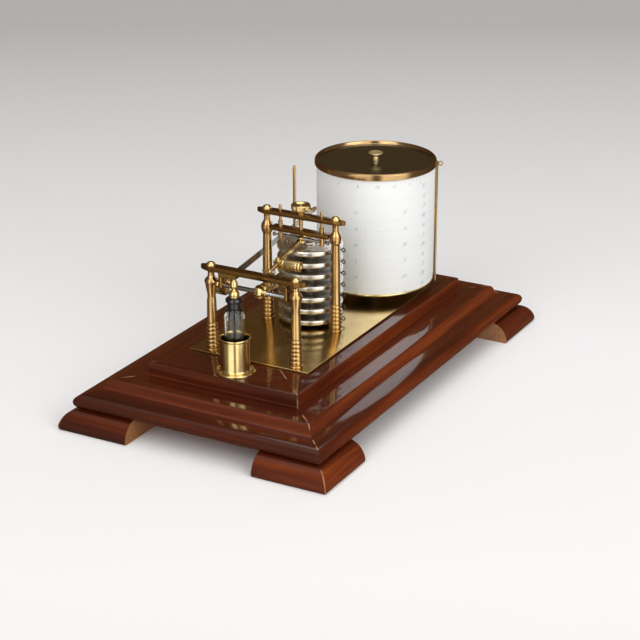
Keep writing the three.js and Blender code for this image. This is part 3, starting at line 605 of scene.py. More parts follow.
def chart_paper(name):
    """off-white paper with very faint printed ruling and fibre"""
    m = Material(name)
    x, y, z = m.split(m.place)
    angle = m.calc("ARCTAN2", m.minus(y, DRUM_Y * MM), m.minus(x, DRUM_X * MM))
    height = m.minus(z, CHART_DATUM * MM)

    def lines(value, period, width, phase=0.0):
        """repeating lines; width is a share of the period"""
        turn = m.calc("FRACT", m.plus(m.calc("DIVIDE", value, period), phase + 10.0))
        return m.calc("LESS_THAN", m.calc("ABSOLUTE", m.minus(turn, 0.5)), width / 2)

    ruled = m.times(m.calc("GREATER_THAN", height, 2.0 * MM),
                    m.calc("LESS_THAN", height, 80.0 * MM))
    level_main = m.times(lines(height, period=8.0 * MM, width=0.055), ruled)
    level_fine = m.times(lines(height, period=1.6 * MM, width=0.12), ruled)
    # the time arcs lean over with the swing of the pen
    arm_length, chart_radius = 0.146, 0.0465
    from_middle = m.calc("ABSOLUTE", m.minus(height, 42.0 * MM))
    lean = m.times(m.calc("POWER", from_middle, 2.0), 0.5 / arm_length / chart_radius)
    leaning = m.plus(angle, lean)
    turn = math.pi * 2
    time_main = m.times(lines(leaning, period=turn / 7.2, width=0.0070, phase=0.13), ruled)
    time_fine = m.times(lines(leaning, period=turn / 86.4, width=0.055, phase=0.13), ruled)
    ink = m.plus(m.times(m.calc("MAXIMUM", level_main, time_main), 0.10),
                 m.times(m.calc("MAXIMUM", level_fine, time_fine), 0.05), clamp=True)
    fibre = m.noise(m.mapping(), scale=700.0, detail=4.0, roughness=0.7)
    cloud = m.noise(m.mapping(), scale=30.0, detail=3.0, roughness=0.5)
    colour = m.mix(m.remap(cloud, span=(0.3, 0.7)), srgb(233, 236, 240), srgb(226, 230, 234))
    fibres = m.remap(fibre, span=(0.4, 0.7), to=(0.0, 0.2))
    colour = m.mix(fibres, colour, srgb(224, 226, 222))
    # painted warm light in patches along the lower edge
    painted_warm_edge = m.times(m.remap(height, span=(0.0, 5 * MM), to=(1.0, 0.0)),
                      m.remap(cloud, span=(0.45, 0.7), to=(0.0, 0.4)))
    colour = m.mix(painted_warm_edge, colour, srgb(224, 214, 186))
    colour = m.mix(ink, colour, srgb(128, 160, 160))
    # painted reflection: the paper glows for glossy rays only, so polished surfaces mirror a
    # brighter image of it
    light_path = m.add("ShaderNodeLightPath")
    m.surface({
        "Base Color": colour,
        "Roughness": 0.62,
        "Specular IOR Level": 0.3,
        "Emission Color": colour,
        "Emission Strength": m.times(light_path.outputs["Is Glossy Ray"], 0.8),
        "Normal": m.bump(fibre, strength=0.12, distance=0.0002),
    })
    return m.material


def print_ink(name, colour):
    m = Material(name)
    noise = m.noise(m.mapping(), scale=1500.0, detail=2.0, roughness=0.5)
    faded = m.remap(noise, span=(0.4, 0.65), to=(0.0, 0.5))
    m.surface({"Base Color": m.mix(faded, srgb(*colour), srgb(206, 220, 214)),
               "Roughness": 0.6})
    return m.material


def black_gloss(name):
    m = Material(name)
    noise = m.noise(m.mapping(), scale=260.0, detail=4.0, roughness=0.6)
    mottle = m.remap(noise, span=(0.4, 0.7))
    m.surface({
        "Base Color": m.mix(mottle, srgb(16, 15, 20), srgb(34, 32, 40)),
        "Roughness": m.plus(m.times(noise, 0.12), 0.05),
        "Normal": m.bump(noise, strength=0.08, distance=0.0004),
    })
    return m.material


def bottle_glass(name):
    m = Material(name)
    noise = m.noise(m.mapping(scale=(1, 1, 0.25)), scale=150.0, detail=2.0, roughness=0.5)
    m.surface({
        "Base Color": m.mix(noise, srgb(248, 250, 246), srgb(236, 240, 232)),
        "Transmission Weight": 1.0,
        "IOR": 1.48,
        "Roughness": m.times(noise, 0.04),
        "Normal": m.bump(noise, strength=0.06, distance=0.0008),
    })
    return m.material


MATERIALS = {
    "brass": brass("polished_brass"),
    "pillar": turned_brass("turned_brass", light=(202, 168, 116), dark=(144, 108, 64),
                           roughness=0.17),
    "cup": turned_brass("cup_brass", roughness=0.15, bump=0.05),
    "darkbrass": brass("toned_brass", light=(178, 140, 80), dark=(120, 86, 42),
                       roughness=0.22, bump=0.06, tone=0.8),
    "bar": brass("bar_brass", light=(150, 112, 62), dark=(104, 74, 38), roughness=0.20,
                 tone=0.8),
    "plate": brass("plate_brass", light=(200, 176, 122), dark=(164, 134, 82),
                   roughness=0.13, bump=0.015, hollows=False),
    # painted light: the knob's brass is coloured lighter than the rest to stand in for more light
    # on its top
    "knob": turned_brass("knob_brass_painted_light", light=(246, 230, 184), dark=(214, 190, 138),
                         roughness=0.38, bump=0.04),
    "lid": brass("lid_brass", light=(184, 154, 112), dark=(136, 106, 68), roughness=0.10,
                 bump=0.02, tone=0.6, hollows=False, sunk=(152, 158, 156)),
    "drum": brass("drum_brass", light=(216, 204, 164), dark=(170, 150, 108),
                  roughness=0.18, bump=0.04, tone=0.7, hollows=False),
    "clip": brass("clip_brass", light=(196, 168, 122), dark=(150, 122, 80),
                  roughness=0.24, tone=0.8),
    "steel": steel("bright_steel"),
    "tube_steel": steel("tube_steel", light=(104, 104, 104), dark=(58, 56, 54),
                        roughness=0.26),
    "arm_steel": steel("arm_steel", light=(170, 166, 156), dark=(120, 116, 106),
                       roughness=0.26, grain="X"),
    "spindle": steel("spindle_steel", grain="Z"),
    "nickel": nickel("nickel_silver"),
    "paper": chart_paper("chart_paper"),
    "ink": print_ink("chart_print", (128, 184, 166)),
    "inkgrey": print_ink("chart_print_grey", (150, 176, 174)),
    "black": black_gloss("black_stopper"),
    "glass": bottle_glass("bottle_glass"),
    "wood_lower": mahogany("mahogany_lower_board", LOWER_HALF, tone=0.95, wear_and_highlight=1.0, seed=0.0),
    "wood_upper": mahogany("mahogany_upper_board", UPPER_HALF, tone=0.92, wear_and_highlight=0.7, seed=0.31),
    "wood_foot": mahogany("mahogany_feet", LOWER_HALF, tone=0.96, wear_and_highlight=0.8, seed=0.57,
                          sawn_ends=True),
}


# =========================================================================
# objects from shells
# =========================================================================
def mesh_object(name, shells, material, angle, others=None):
    """one object of several shells; others maps a shell's index to another material"""
    verts, faces, face_slots = [], [], []
    materials = [material]
    for i, (shell_verts, shell_faces) in enumerate(shells):
        key = (others or {}).get(i, material)
        if key not in materials:
            materials.append(key)
        offset = len(verts)
        verts += shell_verts
        faces += [tuple(j + offset for j in face) for face in shell_faces]
        face_slots += [materials.index(key)] * len(shell_faces)
    mesh = bpy.data.meshes.new(name)
    mesh.from_pydata([tuple(c * MM for c in v) for v in verts], [], faces)
    mesh.validate()
    bm = bmesh.new()
    bm.from_mesh(mesh)
    bmesh.ops.remove_doubles(bm, verts=bm.verts, dist=1e-7)
    bmesh.ops.recalc_face_normals(bm, faces=bm.faces)
    bm.to_mesh(mesh)
    bm.free()
    mesh.shade_smooth()
    mesh.set_sharp_from_angle(angle=math.radians(angle))
    ob = bpy.data.objects.new(name, mesh)
    bpy.context.scene.collection.objects.link(ob)
    if material:
        mesh.materials.append(MATERIALS[material])
    # the slots only fit if cleaning up has dropped no face
    if len(materials) > 1 and len(mesh.polygons) == len(face_slots):
        for key in materials[1:]:
            mesh.materials.append(MATERIALS[key])
        mesh.polygons.foreach_set("material_index", face_slots)
    return ob


def place(ob, body, *nodes, slot="polished_brass"):
    """sets the body it rides on and the CAD nodes it replaces; its slot is not used"""
    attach(ob, body)
    if nodes:
        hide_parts(*nodes)


def piece(name, shells, material, body, *nodes, slot="polished_brass", angle=40, others=None):
    place(mesh_object(name, shells, material, angle, others), body, *nodes, slot=slot)


# =========================================================================
# plinth; profiles of (outward offset, height)
# =========================================================================
LOWER_PROFILE = [(-2.2, 35.35), (-1.5, 35.26), *smooth_curve([
    (-0.7, 35.1), (0.4, 34.5), (1.2, 33.6), (1.8, 32.4), (2.9, 29.8), (3.9, 28.6),
    (5.7, 27.9), (8.3, 27.5), (11.2, 27.0), (14.0, 26.3), (16.5, 25.3), (18.3, 24.2),
    (19.4, 22.8), (19.98, 21.0), (19.7, 18.9), (18.9, 17.2), (17.4, 15.9)]),
    (15.0, FOOT_TOP)]
piece("lower_board_moulded", [rectangular_moulding(LOWER_PROFILE, *LOWER_HALF)], "wood_lower",
      "base", "lower_board", slot="mahogany", angle=30)

UPPER_PROFILE = [(-1.1, UPPER_TOP), (-0.6, 45.1), (-0.2, 44.8), (0.0, 44.3), (0.0, 36.0),
                 (0.25, 35.6), (0.45, 35.36)]
piece("upper_board_polished", [rectangular_moulding(UPPER_PROFILE, *UPPER_HALF)], "wood_upper",
      "base", "upper_board", slot="mahogany", angle=30)

FOOT_OUT = 28.3         # outermost reach of a foot beyond the lower board's half size
FOOT_THICK = 37.6
FOOT_LENGTH = 58.6
FOOT_PROFILE = smooth_curve([
    (15.0, FOOT_TOP), (17.8, 15.2), (20.6, 14.2), (23.4, 12.2), (25.7, 9.5), (27.2, 6.7),
    (28.1, 4.3), (28.27, 2.6), (28.0, 1.1), (27.2, 0.0)])
FOOT_PROFILE += [(FOOT_OUT - FOOT_THICK, 0.0), (FOOT_OUT - FOOT_THICK, FOOT_TOP)]


def bracket_foot(sx, sy):
    """two legs meeting at a mitre: the end along X, the mitre, the end along Y"""
    half_x, half_y = LOWER_HALF
    end_x = half_x + FOOT_OUT - FOOT_LENGTH
    end_y = half_y + FOOT_OUT - FOOT_LENGTH
    rings = [[(end_x, half_y + o, z) for o, z in FOOT_PROFILE],
             [(half_x + o, half_y + o, z) for o, z in FOOT_PROFILE],
             [(half_x + o, end_y, z) for o, z in FOOT_PROFILE]]
    return loft([[(x * sx, y * sy, z) for x, y, z in ring] for ring in rings])


for end, sx in (("cup_end", 1), ("drum_end", -1)):
    for side, sy in SIDES:
        piece(f"foot_{end}_{side}", [bracket_foot(sx, sy)], "wood_foot",
              "base", f"bracket_foot_{end}_{side}", slot="mahogany", angle=30)

piece("polished_base_plate",
      [prism(rectangle(-100, 100.5, -47.5, 51.9), UPPER_TOP, PLATE_TOP, 0.4, steps=3)],
      "plate", "base", "base_plate", angle=32)

# =========================================================================
# the two frames; turned profiles from here on are (radius, height[, corner radius])
# =========================================================================
# middle of the shaft, with its height from halfway up
SHAFT_MIDDLE = {"tall": (3.55, 0, 0), "short": (3.45, -3, 0)}
# heads, with heights from the top
HEADS = {
    "tall": [(3.2, -17.2, 0.3), (3.3, -16.0, 0.3), (4.15, -14.4, 0.8), (4.6, -11.4, 2.2),
             (4.2, -8.6, 1.2), (3.0, -6.7, 0.6), (2.45, -5.4, 0.5), (2.4, -2.0, 0.4),
             (2.8, -0.5, 0.2), (2.8, 0, 0), (0, 0, 0)],
    "short": [(3.0, -20.5, 0.5), (3.2, -18.0, 0.8), (4.5, -10.6, 1.2), (5.0, -8.6, 0.7),
              (4.7, -7.2, 0.7), (3.0, -5.2, 0.6), (2.45, -4.2, 0.5), (2.4, -1.6, 0.4),
              (2.8, -0.4, 0.2), (2.8, 0, 0), (0, 0, 0)],
}
RING_PITCH = 3.2


def pillar_profile(kind, top):
    profile = lifted([(0, 0, 0), (5.2, 0, 0.1), (5.3, 0.4, 0.2), (5.15, 1.0, 0.2),
                      (4.1, 1.4, 0.1)], PLATE_TOP)
    # stacked rings of the base, each undercut where it meets the next
    z = PLATE_TOP + 1.6
    for r in (4.9, 4.8, 4.75, 4.65, 4.55, 4.4):
        profile += lifted([(r - 0.7, 0.02, 0.05), (r - 0.18, 0.55, 0.3), (r, 1.2, 0.5),
                           (r, 2.0, 0.5), (r - 0.2, 2.65, 0.3), (r - 0.72, 3.15, 0.05)], z)
        z += RING_PITCH
    profile += lifted([(3.8, 0.7, 0.3), (3.75, 2.4, 0)], z)
    profile += lifted([SHAFT_MIDDLE[kind]], (z + top) / 2)
    return profile + lifted(HEADS[kind], top)


for fr in (TALL, SHORT):
    for side, sign in SIDES:
        shell = lathe(pillar_profile(fr.kind, fr.bar_low), 56,
                      (fr.x, fr.y + sign * fr.reach, 0), arc=4)
        piece(f"{fr.kind}_pillar_{side}", [shell], "pillar",
              "base", f"{fr.kind}_frame_pillar_{side}")

# distance from the bar's end, half width, share of the half height
BAR_END = ((0, 0.8, 0.90), (0.3, 1.1, 1), (3.0, 2.5, 1), (6.0, 3.94, 1), (8.2, 4.0, 1))


def frame_bar(fr, half_length):
    """flat bar with softened edges, both ends drawn to a blunt point"""
    middle = (fr.bar_low + fr.bar_high) / 2
    half_height = (fr.bar_high - fr.bar_low) / 2
    stations = [(d - half_length, w, share) for d, w, share in BAR_END]
    stations += [(-y, w, share) for y, w, share in reversed(stations)]
    rings = []
    for y, width, share in stations:
        height = half_height * share
        corner = min(0.4, width * 0.45, height * 0.45)
        rings.append([(fr.x + a, fr.y + y, middle + b)
                      for a, b in rounded_section(width, height, corner, 2)])
    return loft(rings)


def bored(ob, bores, low, high, angle):
    """cuts upright round bores of (radius, x, y) with an exact boolean"""
    shells = [pin(r, low - 2, high + 2, 28, (x, y, 0), "Z", corner=0) for r, x, y in bores]
    cutter = mesh_object("bore_cutter", shells, None, angle)
    modifier = ob.modifiers.new("bores", "BOOLEAN")
    modifier.operation = "DIFFERENCE"
    modifier.solver = "EXACT"
    modifier.object = cutter
    bpy.context.view_layer.update()
    depsgraph = bpy.context.evaluated_depsgraph_get()
    mesh = bpy.data.meshes.new_from_object(ob.evaluated_get(depsgraph))
    ob.modifiers.clear()
    ob.data = mesh
    mesh.shade_smooth()
    mesh.set_sharp_from_angle(angle=math.radians(angle))
    bpy.data.objects.remove(cutter)
    return ob


tall_bar = mesh_object("tall_frame_top_bar", [frame_bar(TALL, 37.3)], "bar", 32)
tall_bores = [(1.25, TALL.x, TALL.y - GUIDE_REACH), (1.25, TALL.x, TALL.y + GUIDE_REACH),
              (2.0, TALL.x, TALL.y)]
place(bored(tall_bar, tall_bores, TALL.bar_low, TALL.bar_high, 32), "base", "tall_frame_bar")
piece("short_frame_top_bar", [frame_bar(SHORT, 43.4)], "bar", "base", "short_frame_bar",
      angle=32)

DOMED_NUT = [(0, 0, 0), (3.75, 0, 0), (3.8, 0.5, 0.2), (3.4, 0.85, 0.2), (3.3, 1.3, 0.5),
             (2.7, 2.1, 0.8), (1.4, 2.75, 0.8), (0, 2.9, 0)]
for fr in (TALL, SHORT):
    for side, sign in SIDES:
        nut = f"{fr.kind}_frame_nut_{side}"
        piece("domed_" + nut,
              [lathe(lifted(DOMED_NUT, fr.bar_high), 36, (fr.x, fr.y + sign * fr.reach, 0))],
              "brass", "base", nut)

# =========================================================================
# hanging bar, guide rods, setting screw and nut
# =========================================================================
hanging_outline = rounded(rectangle(TALL.x - 4, TALL.x + 4, TALL.y - 24.4, TALL.y + 24.4), 0.8, 4)
hanging_holes = [circle(1.9, 24, (TALL.x, TALL.y - GUIDE_REACH)),
                 circle(1.9, 24, (TALL.x, TALL.y + GUIDE_REACH)),
                 circle(1.68, 24, (TALL.x, TALL.y))]
piece("hanging_bar", [prism(hanging_outline, HANGING_LOW, HANGING_HIGH, 0.3, hanging_holes)],
      "bar", "setting", "setting_bar", slot="dark_brass", angle=32)

GUIDE_ROD = [(0, 111.8, 0), (1.3, 111.8), (1.85, 112.4), (1.85, HANGING_LOW - 0.5, 0)]
GUIDE_ROD += lifted([(1.85, 2.9, 0.1), (1.6, 3.2, 0.1), (1.85, 3.6), (1.7, 4.2), (1.14, 4.5)],
                    HANGING_HIGH)
GUIDE_ROD += [(1.14, 138.7, 0.2), (0.8, 139.3, 0.2), (0, 139.4, 0)]
for side, sign in SIDES:
    piece("guide_rod_" + side,
          [lathe(GUIDE_ROD, 36, (TALL.x, TALL.y + sign * GUIDE_REACH, 0))],
          "pillar", "setting", "guide_pin_" + side)

THREAD_LOW = 119.4
THREAD_PITCH = 0.6
thread = [(0, THREAD_LOW, 0)]
for turn in range(36):
    thread += lifted([(1.45, 0, 0), (1.6, 0.22, 0), (1.6, 0.34, 0), (1.45, 0.55, 0)],
                     THREAD_LOW + turn * THREAD_PITCH)
thread += [(1.3, 141.2, 0), (0.9, 141.6, 0), (0, 141.6, 0)]
piece("setting_screw_thread", [lathe(thread, 28, (TALL.x, TALL.y, 0))], "pillar",
      "setting", "setting_screw")


def knurled(profile, segments, centre, depth, low, high, min_radius):
    """lathe whose outermost band is cut into fine upright teeth"""
    verts, faces = lathe(profile, segments)
    out = []
    for x, y, z in verts:
        r = math.hypot(x, y)
        if r > min_radius and low <= z <= high:
            if round(math.atan2(y, x) / (2 * math.pi) * segments) % 2:
                x, y = x * (r - depth) / r, y * (r - depth) / r
        out.append((x, y, z))
    return along(out, "Z", centre), faces


SETTING_NUT = [
    (1.68, 134.62, 0), (2.88, 134.62), (2.88, 136.0, 0.4), (3.68, 136.7, 0.4),
    (5.68, 137.2, 0.4), (6.95, 138.1, 0.3), (7.38, 139.2, 0.1), (7.38, 141.9, 0.2),
    (6.9, 142.45, 0.2), (5.9, 142.35, 0.5), (4.4, 141.3, 0.6), (3.0, 140.9, 0.4),
    (1.68, 140.9, 0), (1.68, 134.62, 0)]
piece("dished_setting_nut",
      [knurled(SETTING_NUT, 96, (TALL.x, TALL.y, 0), depth=0.22, low=139.2, high=141.85,
               min_radius=7.2)],
      "brass", "nut", "setting_nut")

# =========================================================================
# upper arbor, its pivot screws, and the lever
# =========================================================================
UPPER_CENTRE = (UPPER_AXIS[0], 0, UPPER_AXIS[1])
ARBOR_END = [(0, 1.1, 0), (0.55, 1.1, 0), (0.55, 0, 0.05), (1.1, 0, 0.1), (1.25, 0.4), (1.25, 6)]
arbor_reach = GUIDE_REACH - 2.1
arbor = lifted(ARBOR_END, TALL.y - arbor_reach)
arbor += lifted([(1.5, -4.0, 0.3), (1.55, -3.2), (1.55, 3.2), (1.5, 4.0, 0.3)], LEVER_Y)
arbor += lifted(ARBOR_END, TALL.y + arbor_reach, -1)
piece("steel_upper_arbor", [lathe(arbor, 32, UPPER_CENTRE, "Y")], "steel",
      "lever", "upper_arbor", slot="steel")

PIVOT_SCREW = [(0, -6.4, 0), (0.9, -6.4, 0.2), (1.55, -6.1, 0.3), (1.6, -5.4, 0.1),
               (1.6, -4.5), (0.88, -4.2, 0.1), (0.88, 1.9, 0.1), (0.42, 2.2, 0.1),
               (0.42, 2.8, 0.1), (0, 3.0, 0)]


def pivot_screw(y, direction):
    """screw pointing along Y in a direction, with a driver slot sunk across its head"""
    verts, faces = lathe(lifted(PIVOT_SCREW, y, direction), 56, UPPER_CENTRE, "Y")
    out = []
    for vx, vy, vz in verts:
        depth = (vy - y) * direction
        if depth < -4.4 and abs(vx - UPPER_AXIS[0]) < 0.34:
            vy = y + direction * max(depth, -4.9)
        out.append((vx, vy, vz))
    return out, faces


for side, sign in SIDES:
    piece(side + "_pivot_screw", [pivot_screw(TALL.y + sign * GUIDE_REACH, -sign)], "steel",
          "setting", "pivot_screw_" + side, slot="steel")

lever_dir = (LEVER_END - LEVER_ROOT).normalized()
lever_up = Vector((-lever_dir.y, lever_dir.x))


def lever_bar(stations=14):
    """bar with softened edges, tapering along its length"""
    rings = []
    for i in range(stations + 1):
        t = i / stations
        p = LEVER_ROOT.lerp(LEVER_END, t)
        section = rounded_section(1.28, 1.58 + (1.45 - 1.58) * t, 0.35, 3)
        rings.append([(p.x + lever_up.x * b, LEVER_Y + a, p.y + lever_up.y * b)
                      for a, b in section])
    return loft(rings)


BOSS_OUTLINE = rounded([(15.0, 116.4), (15.4, 112.4), (16.6, 111.6), (20.4, 111.6),
                        (21.3, 113.0), (21.2, 116.4), (19.6, 117.6), (16.4, 117.6)], 0.6)
SHORT_ARM_OUTLINE = rounded([(18.0, 116.8, 0.2), (4.5, 116.6, 1.1), (3.3, 115.4, 1.1),
                             (4.5, 114.2, 1.1), (18.0, 114.0, 0.2)], 0.5, 4)
LEVER_STUD = [(0, 1.4, 0), (1.3, 1.4, 0), (1.35, 2.4, 0.3), (0.9, 2.9, 0.3), (0, 2.9, 0)]
piece("tapered_lever", [
    prism(BOSS_OUTLINE, LEVER_Y - 1.9, LEVER_Y + 1.9, 0.3, [circle(1.57, 24, UPPER_AXIS)], "Y"),
    lever_bar(),
    prism(circle(1.75, 24, (LINK_X, LINK_TOP)), LEVER_Y - 1.25, LEVER_Y + 1.25, 0.2, axis="Y"),
    pin(0.6, LEVER_Y - 6.6, LEVER_Y + 4.6, 20, (LINK_X, 0, LINK_TOP)),
    prism(SHORT_ARM_OUTLINE, LEVER_Y - 0.8, LEVER_Y + 0.8, 0.2, axis="Y"),
    pin(0.6, LEVER_Y - 2.9, LEVER_Y + 2.9, 20, (STACK_X, 0, 115.4)),
    lathe(lifted(LEVER_STUD, LEVER_Y), 24, (19.4, 0, 113.0), "Y"),
], "brass", "lever", "main_lever", angle=35)

# clamp straddling the lever: four walls round it, a stud above and below
CLAMP_X = 52.9
clamp_at = LEVER_ROOT.lerp(LEVER_END, (CLAMP_X - TALL.x) / (LINK_X - TALL.x))
lever_tilt = math.atan2(LEVER_END.y - LEVER_ROOT.y, LEVER_END.x - LEVER_ROOT.x)
clamp_matrix = (Matrix.Translation((clamp_at.x, 0, clamp_at.y))
                @ Matrix.Rotation(-lever_tilt, 4, "Y"))
CLAMP_STUD = [(0, 2.9, 0), (1.25, 2.9, 0), (1.3, 4.2, 0.4), (0.8, 4.6, 0.3), (0, 4.6, 0)]
clamp_shells = [
    box(-2.6, 2.6, LEVER_Y - 2.7, LEVER_Y - 1.36, -3.1, 3.1, 0.3),
    box(-2.6, 2.6, LEVER_Y + 1.36, LEVER_Y + 2.9, -3.1, 3.1, 0.3),
    box(-2.55, 2.55, LEVER_Y - 1.6, LEVER_Y + 1.6, 1.94, 3.08, 0.2),
    box(-2.55, 2.55, LEVER_Y - 1.6, LEVER_Y + 1.6, -3.08, -1.94, 0.2),
    lathe(CLAMP_STUD, 24, (0, LEVER_Y, 0)),
    lathe(lifted(CLAMP_STUD, 0, -1), 24, (0, LEVER_Y, 0)),
]
piece("cross_clamp", [moved(shell, clamp_matrix) for shell in clamp_shells], "brass",
      "clamp", "range_clamp", angle=35)

CYLINDER_SCREW = [
    (0, 1.38, 0), (1.0, 1.38, 0), (1.0, 3.0, 0.1), (3.3, 3.0, 0.3), (3.8, 3.6, 0.4),
    (3.8, 5.2, 0.1), (3.55, 5.5, 0.1), (3.55, 5.9, 0.1), (3.9, 6.2, 0.2), (3.9, 16.0, 0.2),
    (3.55, 16.4, 0.1), (3.55, 16.8, 0.1), (3.85, 17.1, 0.2), (3.8, 18.4, 0.3),
    (3.4, 18.9, 0.2), (1.6, 18.9, 0.2), (1.3, 17.9, 0.2), (0, 17.9, 0)]
piece("cylinder_screw",
      [lathe(lifted(CYLINDER_SCREW, LEVER_Y), 48, (clamp_at.x, 0, clamp_at.y), "Y")],
      "brass", "thumbscrew", "range_screw")

# drop link: pierced eye, shank, and a rectangular loop below
link_y0, link_y1 = LEVER_Y + 2.4, LEVER_Y + 3.6
piece("steel_drop_link", [
    prism(circle(1.7, 28, (LINK_X, LINK_TOP)), link_y0, link_y1, 0.15,
          [circle(0.68, 18, (LINK_X, LINK_TOP))], "Y"),
    prism(rectangle(64.5, 66.3, 97.2, 102.6), link_y0 + 0.02, link_y1 - 0.02, 0.15, axis="Y"),
    prism(rounded(rectangle(63.1, 67.7, 91.0, 97.4), 0.9, 4), link_y0, link_y1, 0.15,
          [rounded(rectangle(63.9, 66.9, 91.8, 96.6), 0.5)], "Y"),
], "steel", "link", "drop_link", slot="steel", angle=35)

# =========================================================================
# capsules
# =========================================================================
# corrugated face and half the rim, with heights from the face inwards
CAPSULE_FACE = [
    (8.4, 0.75, 0.9), (10.2, 0.45, 0.9), (11.6, 0.95, 0.9), (13.0, 0.5, 0.9),
    (14.4, 0.95, 0.9), (15.8, 0.45, 0.9), (17.2, 0.95, 0.9), (18.6, 0.45, 0.9),
    (20.0, 0.95, 0.9), (21.4, 0.5, 0.9), (22.4, 0.35, 0.9), (23.3, 0.02, 0.9),
    (24.5, 0.25, 1.0), (25.05, 1.2, 0.7), (CAPSULE_RADIUS, 2.1, 0)]
hub_half = CAPSULE_PITCH / 2 - 0.2
HUB = [(0, -hub_half, 0), (6.4, -hub_half, 0), (6.6, 0.2 - hub_half, 0.1),
       (6.6, 0.55 - CAPSULE_HALF, 0.2)]
TOP_CAP = [(6.6, -0.55, 0.2), (6.6, 0.4, 0.2), (6.2, 0.6, 0.2), (3.0, 1.0, 0.2), (0, 1.0, 0)]
# notched upright of the fork: x from the stack's middle, z, corner radius
FORK = [(-1.9, 112.2, 0), (1.9, 112.2, 0), (1.9, 117.1, 0.4), (1.5, 117.6, 0.3),
        (0.95, 117.6, 0.1), (0.95, 113.6, 0.5), (0, 113.2, 0.5), (-0.95, 113.6, 0.5),
        (-0.95, 117.6, 0.1), (-1.5, 117.6, 0.3), (-1.9, 117.1, 0.4)]


def filling_tube(z):
    """sealed tube at the back of the rim, curled into an eye"""
    y = STACK_Y + CAPSULE_RADIUS
    path = [(STACK_X, y + out, z) for out in (-0.6, 0.9, 1.8)]
    for i in range(19):
        a = math.radians(-180 + 20 * i * (350 / 360))
        path.append((STACK_X, y + 3.55 + 1.45 * math.cos(a), z + 1.45 * math.sin(a)))
    return tube(path, [0.55] * 4 + [0.45] * 18, 10)


def fork(z):
    """stem and two notched uprights reaching from the top capsule to the lever"""
    stem = [(0, z - 0.2, 0), (1.9, z - 0.2, 0), (1.7, z + 0.5, 0.2), (1.5, 111.4, 0.1),
            (0, 111.4, 0)]
    shells = [lathe(stem, 24, (STACK_X, STACK_Y, 0)),
              box(STACK_X - 1.9, STACK_X + 1.9, LEVER_Y - 2.4, LEVER_Y + 2.4, 111.2, 112.4, 0.2)]
    outline = rounded([(STACK_X + x, z, r) for x, z, r in FORK], 0)
    for y in (LEVER_Y - 2.4, LEVER_Y + 1.2):
        shells.append(prism(outline, y, y + 1.2, 0.12, axis="Y"))
    return shells


def capsule(number):
    z = CAPSULE_FIRST + (number - 1) * CAPSULE_PITCH
    low, high = z - CAPSULE_HALF, z + CAPSULE_HALF
    profile = lifted(HUB, z)
    if number == 1:
        profile = lifted([(0, 0, 0), (7.3, 0, 0), (7.5, 0.9, 0.2), (3.6, 1.2, 0.3)], PLATE_TOP)
        profile.append((3.2, low + 0.55, 0.1))
    profile += lifted(CAPSULE_FACE, low) + lifted(CAPSULE_FACE, high, -1)
    profile += lifted(HUB, z, -1) if number < CAPSULES else lifted(TOP_CAP, high)
    shells = [lathe(profile, 112, (STACK_X, STACK_Y, 0)), filling_tube(z)]
    if number == CAPSULES:
        shells += fork(high + 1.0)
    return shells


for number in range(1, CAPSULES + 1):
    piece(f"corrugated_capsule_{number}", capsule(number), "nickel",
          "base" if number == 1 else f"capsule_body_{number}", f"capsule_{number}",
          slot="nickel_silver", angle=45, others={1: "tube_steel"})

# =========================================================================
# pen arbor, its cocks, crank and gate
# =========================================================================
PEN_CENTRE = (PEN_AXIS[0], 0, PEN_AXIS[1])
front_y0 = SHORT.y - 27.3
front_y1 = front_y0 + 2.6
back_y1 = SHORT.y + 29.9
back_y0 = back_y1 - 2.4


def cock(leg_y, flange_y, flange_drop, hole):
    """pierced leg hanging from a flange under the short frame's bar"""
    top = SHORT.bar_low
    x, z = PEN_AXIS
    leg = rounded([(x - 3.2, top - 0.2, 0), (x - 3.2, z - 1.6, 1.2), (x - 1.6, z - 3.3, 1.2),
                   (x + 1.6, z - 3.3, 1.2), (x + 3.2, z - 1.6, 1.2), (x + 3.2, top - 0.2, 0)],
                  0.3, 5)
    return [prism(leg, *leg_y, 0.25, [circle(hole, 20, PEN_AXIS)], "Y"),
            box(x - 3.4, x + 3.4, *flange_y, top - flange_drop, top, 0.3)]


piece("front_arbor_cock",
      cock((front_y0, front_y1), (front_y0, front_y0 + 14.3), flange_drop=3.2, hole=1.25),
      "darkbrass", "base", "arbor_cock_front", slot="dark_brass", angle=35)
piece("back_arbor_cock",
      cock((back_y0, back_y1), (back_y0 - 1.6, back_y1), flange_drop=2.2, hole=0.9),
      "darkbrass", "base", "arbor_cock_back", slot="dark_brass", angle=35)

shoulder0, shoulder1 = front_y1 + 0.2, back_y0 - 0.2
PEN_ARBOR = [
    (0, front_y0 - 2.7, 0), (0.9, front_y0 - 2.7), (1.18, front_y0 - 2.4),
    (1.18, shoulder0, 0.05), (1.7, shoulder0, 0.15), (1.75, shoulder0 + 0.4),
    (1.75, 5.2, 0.05), (1.9, 5.2, 0.05), (1.9, 14.4, 0.05), (1.75, 14.4, 0.05),
    (1.75, shoulder1 - 0.4), (1.7, shoulder1, 0.15), (0.82, shoulder1, 0.05),
    (0.82, back_y1), (0.6, back_y1 + 0.1, 0), (0, back_y1 + 0.1, 0)]
piece("steel_pen_arbor", [lathe(PEN_ARBOR, 36, PEN_CENTRE, "Y")], "steel",
      "pen_axis", "pen_arbor", slot="steel")

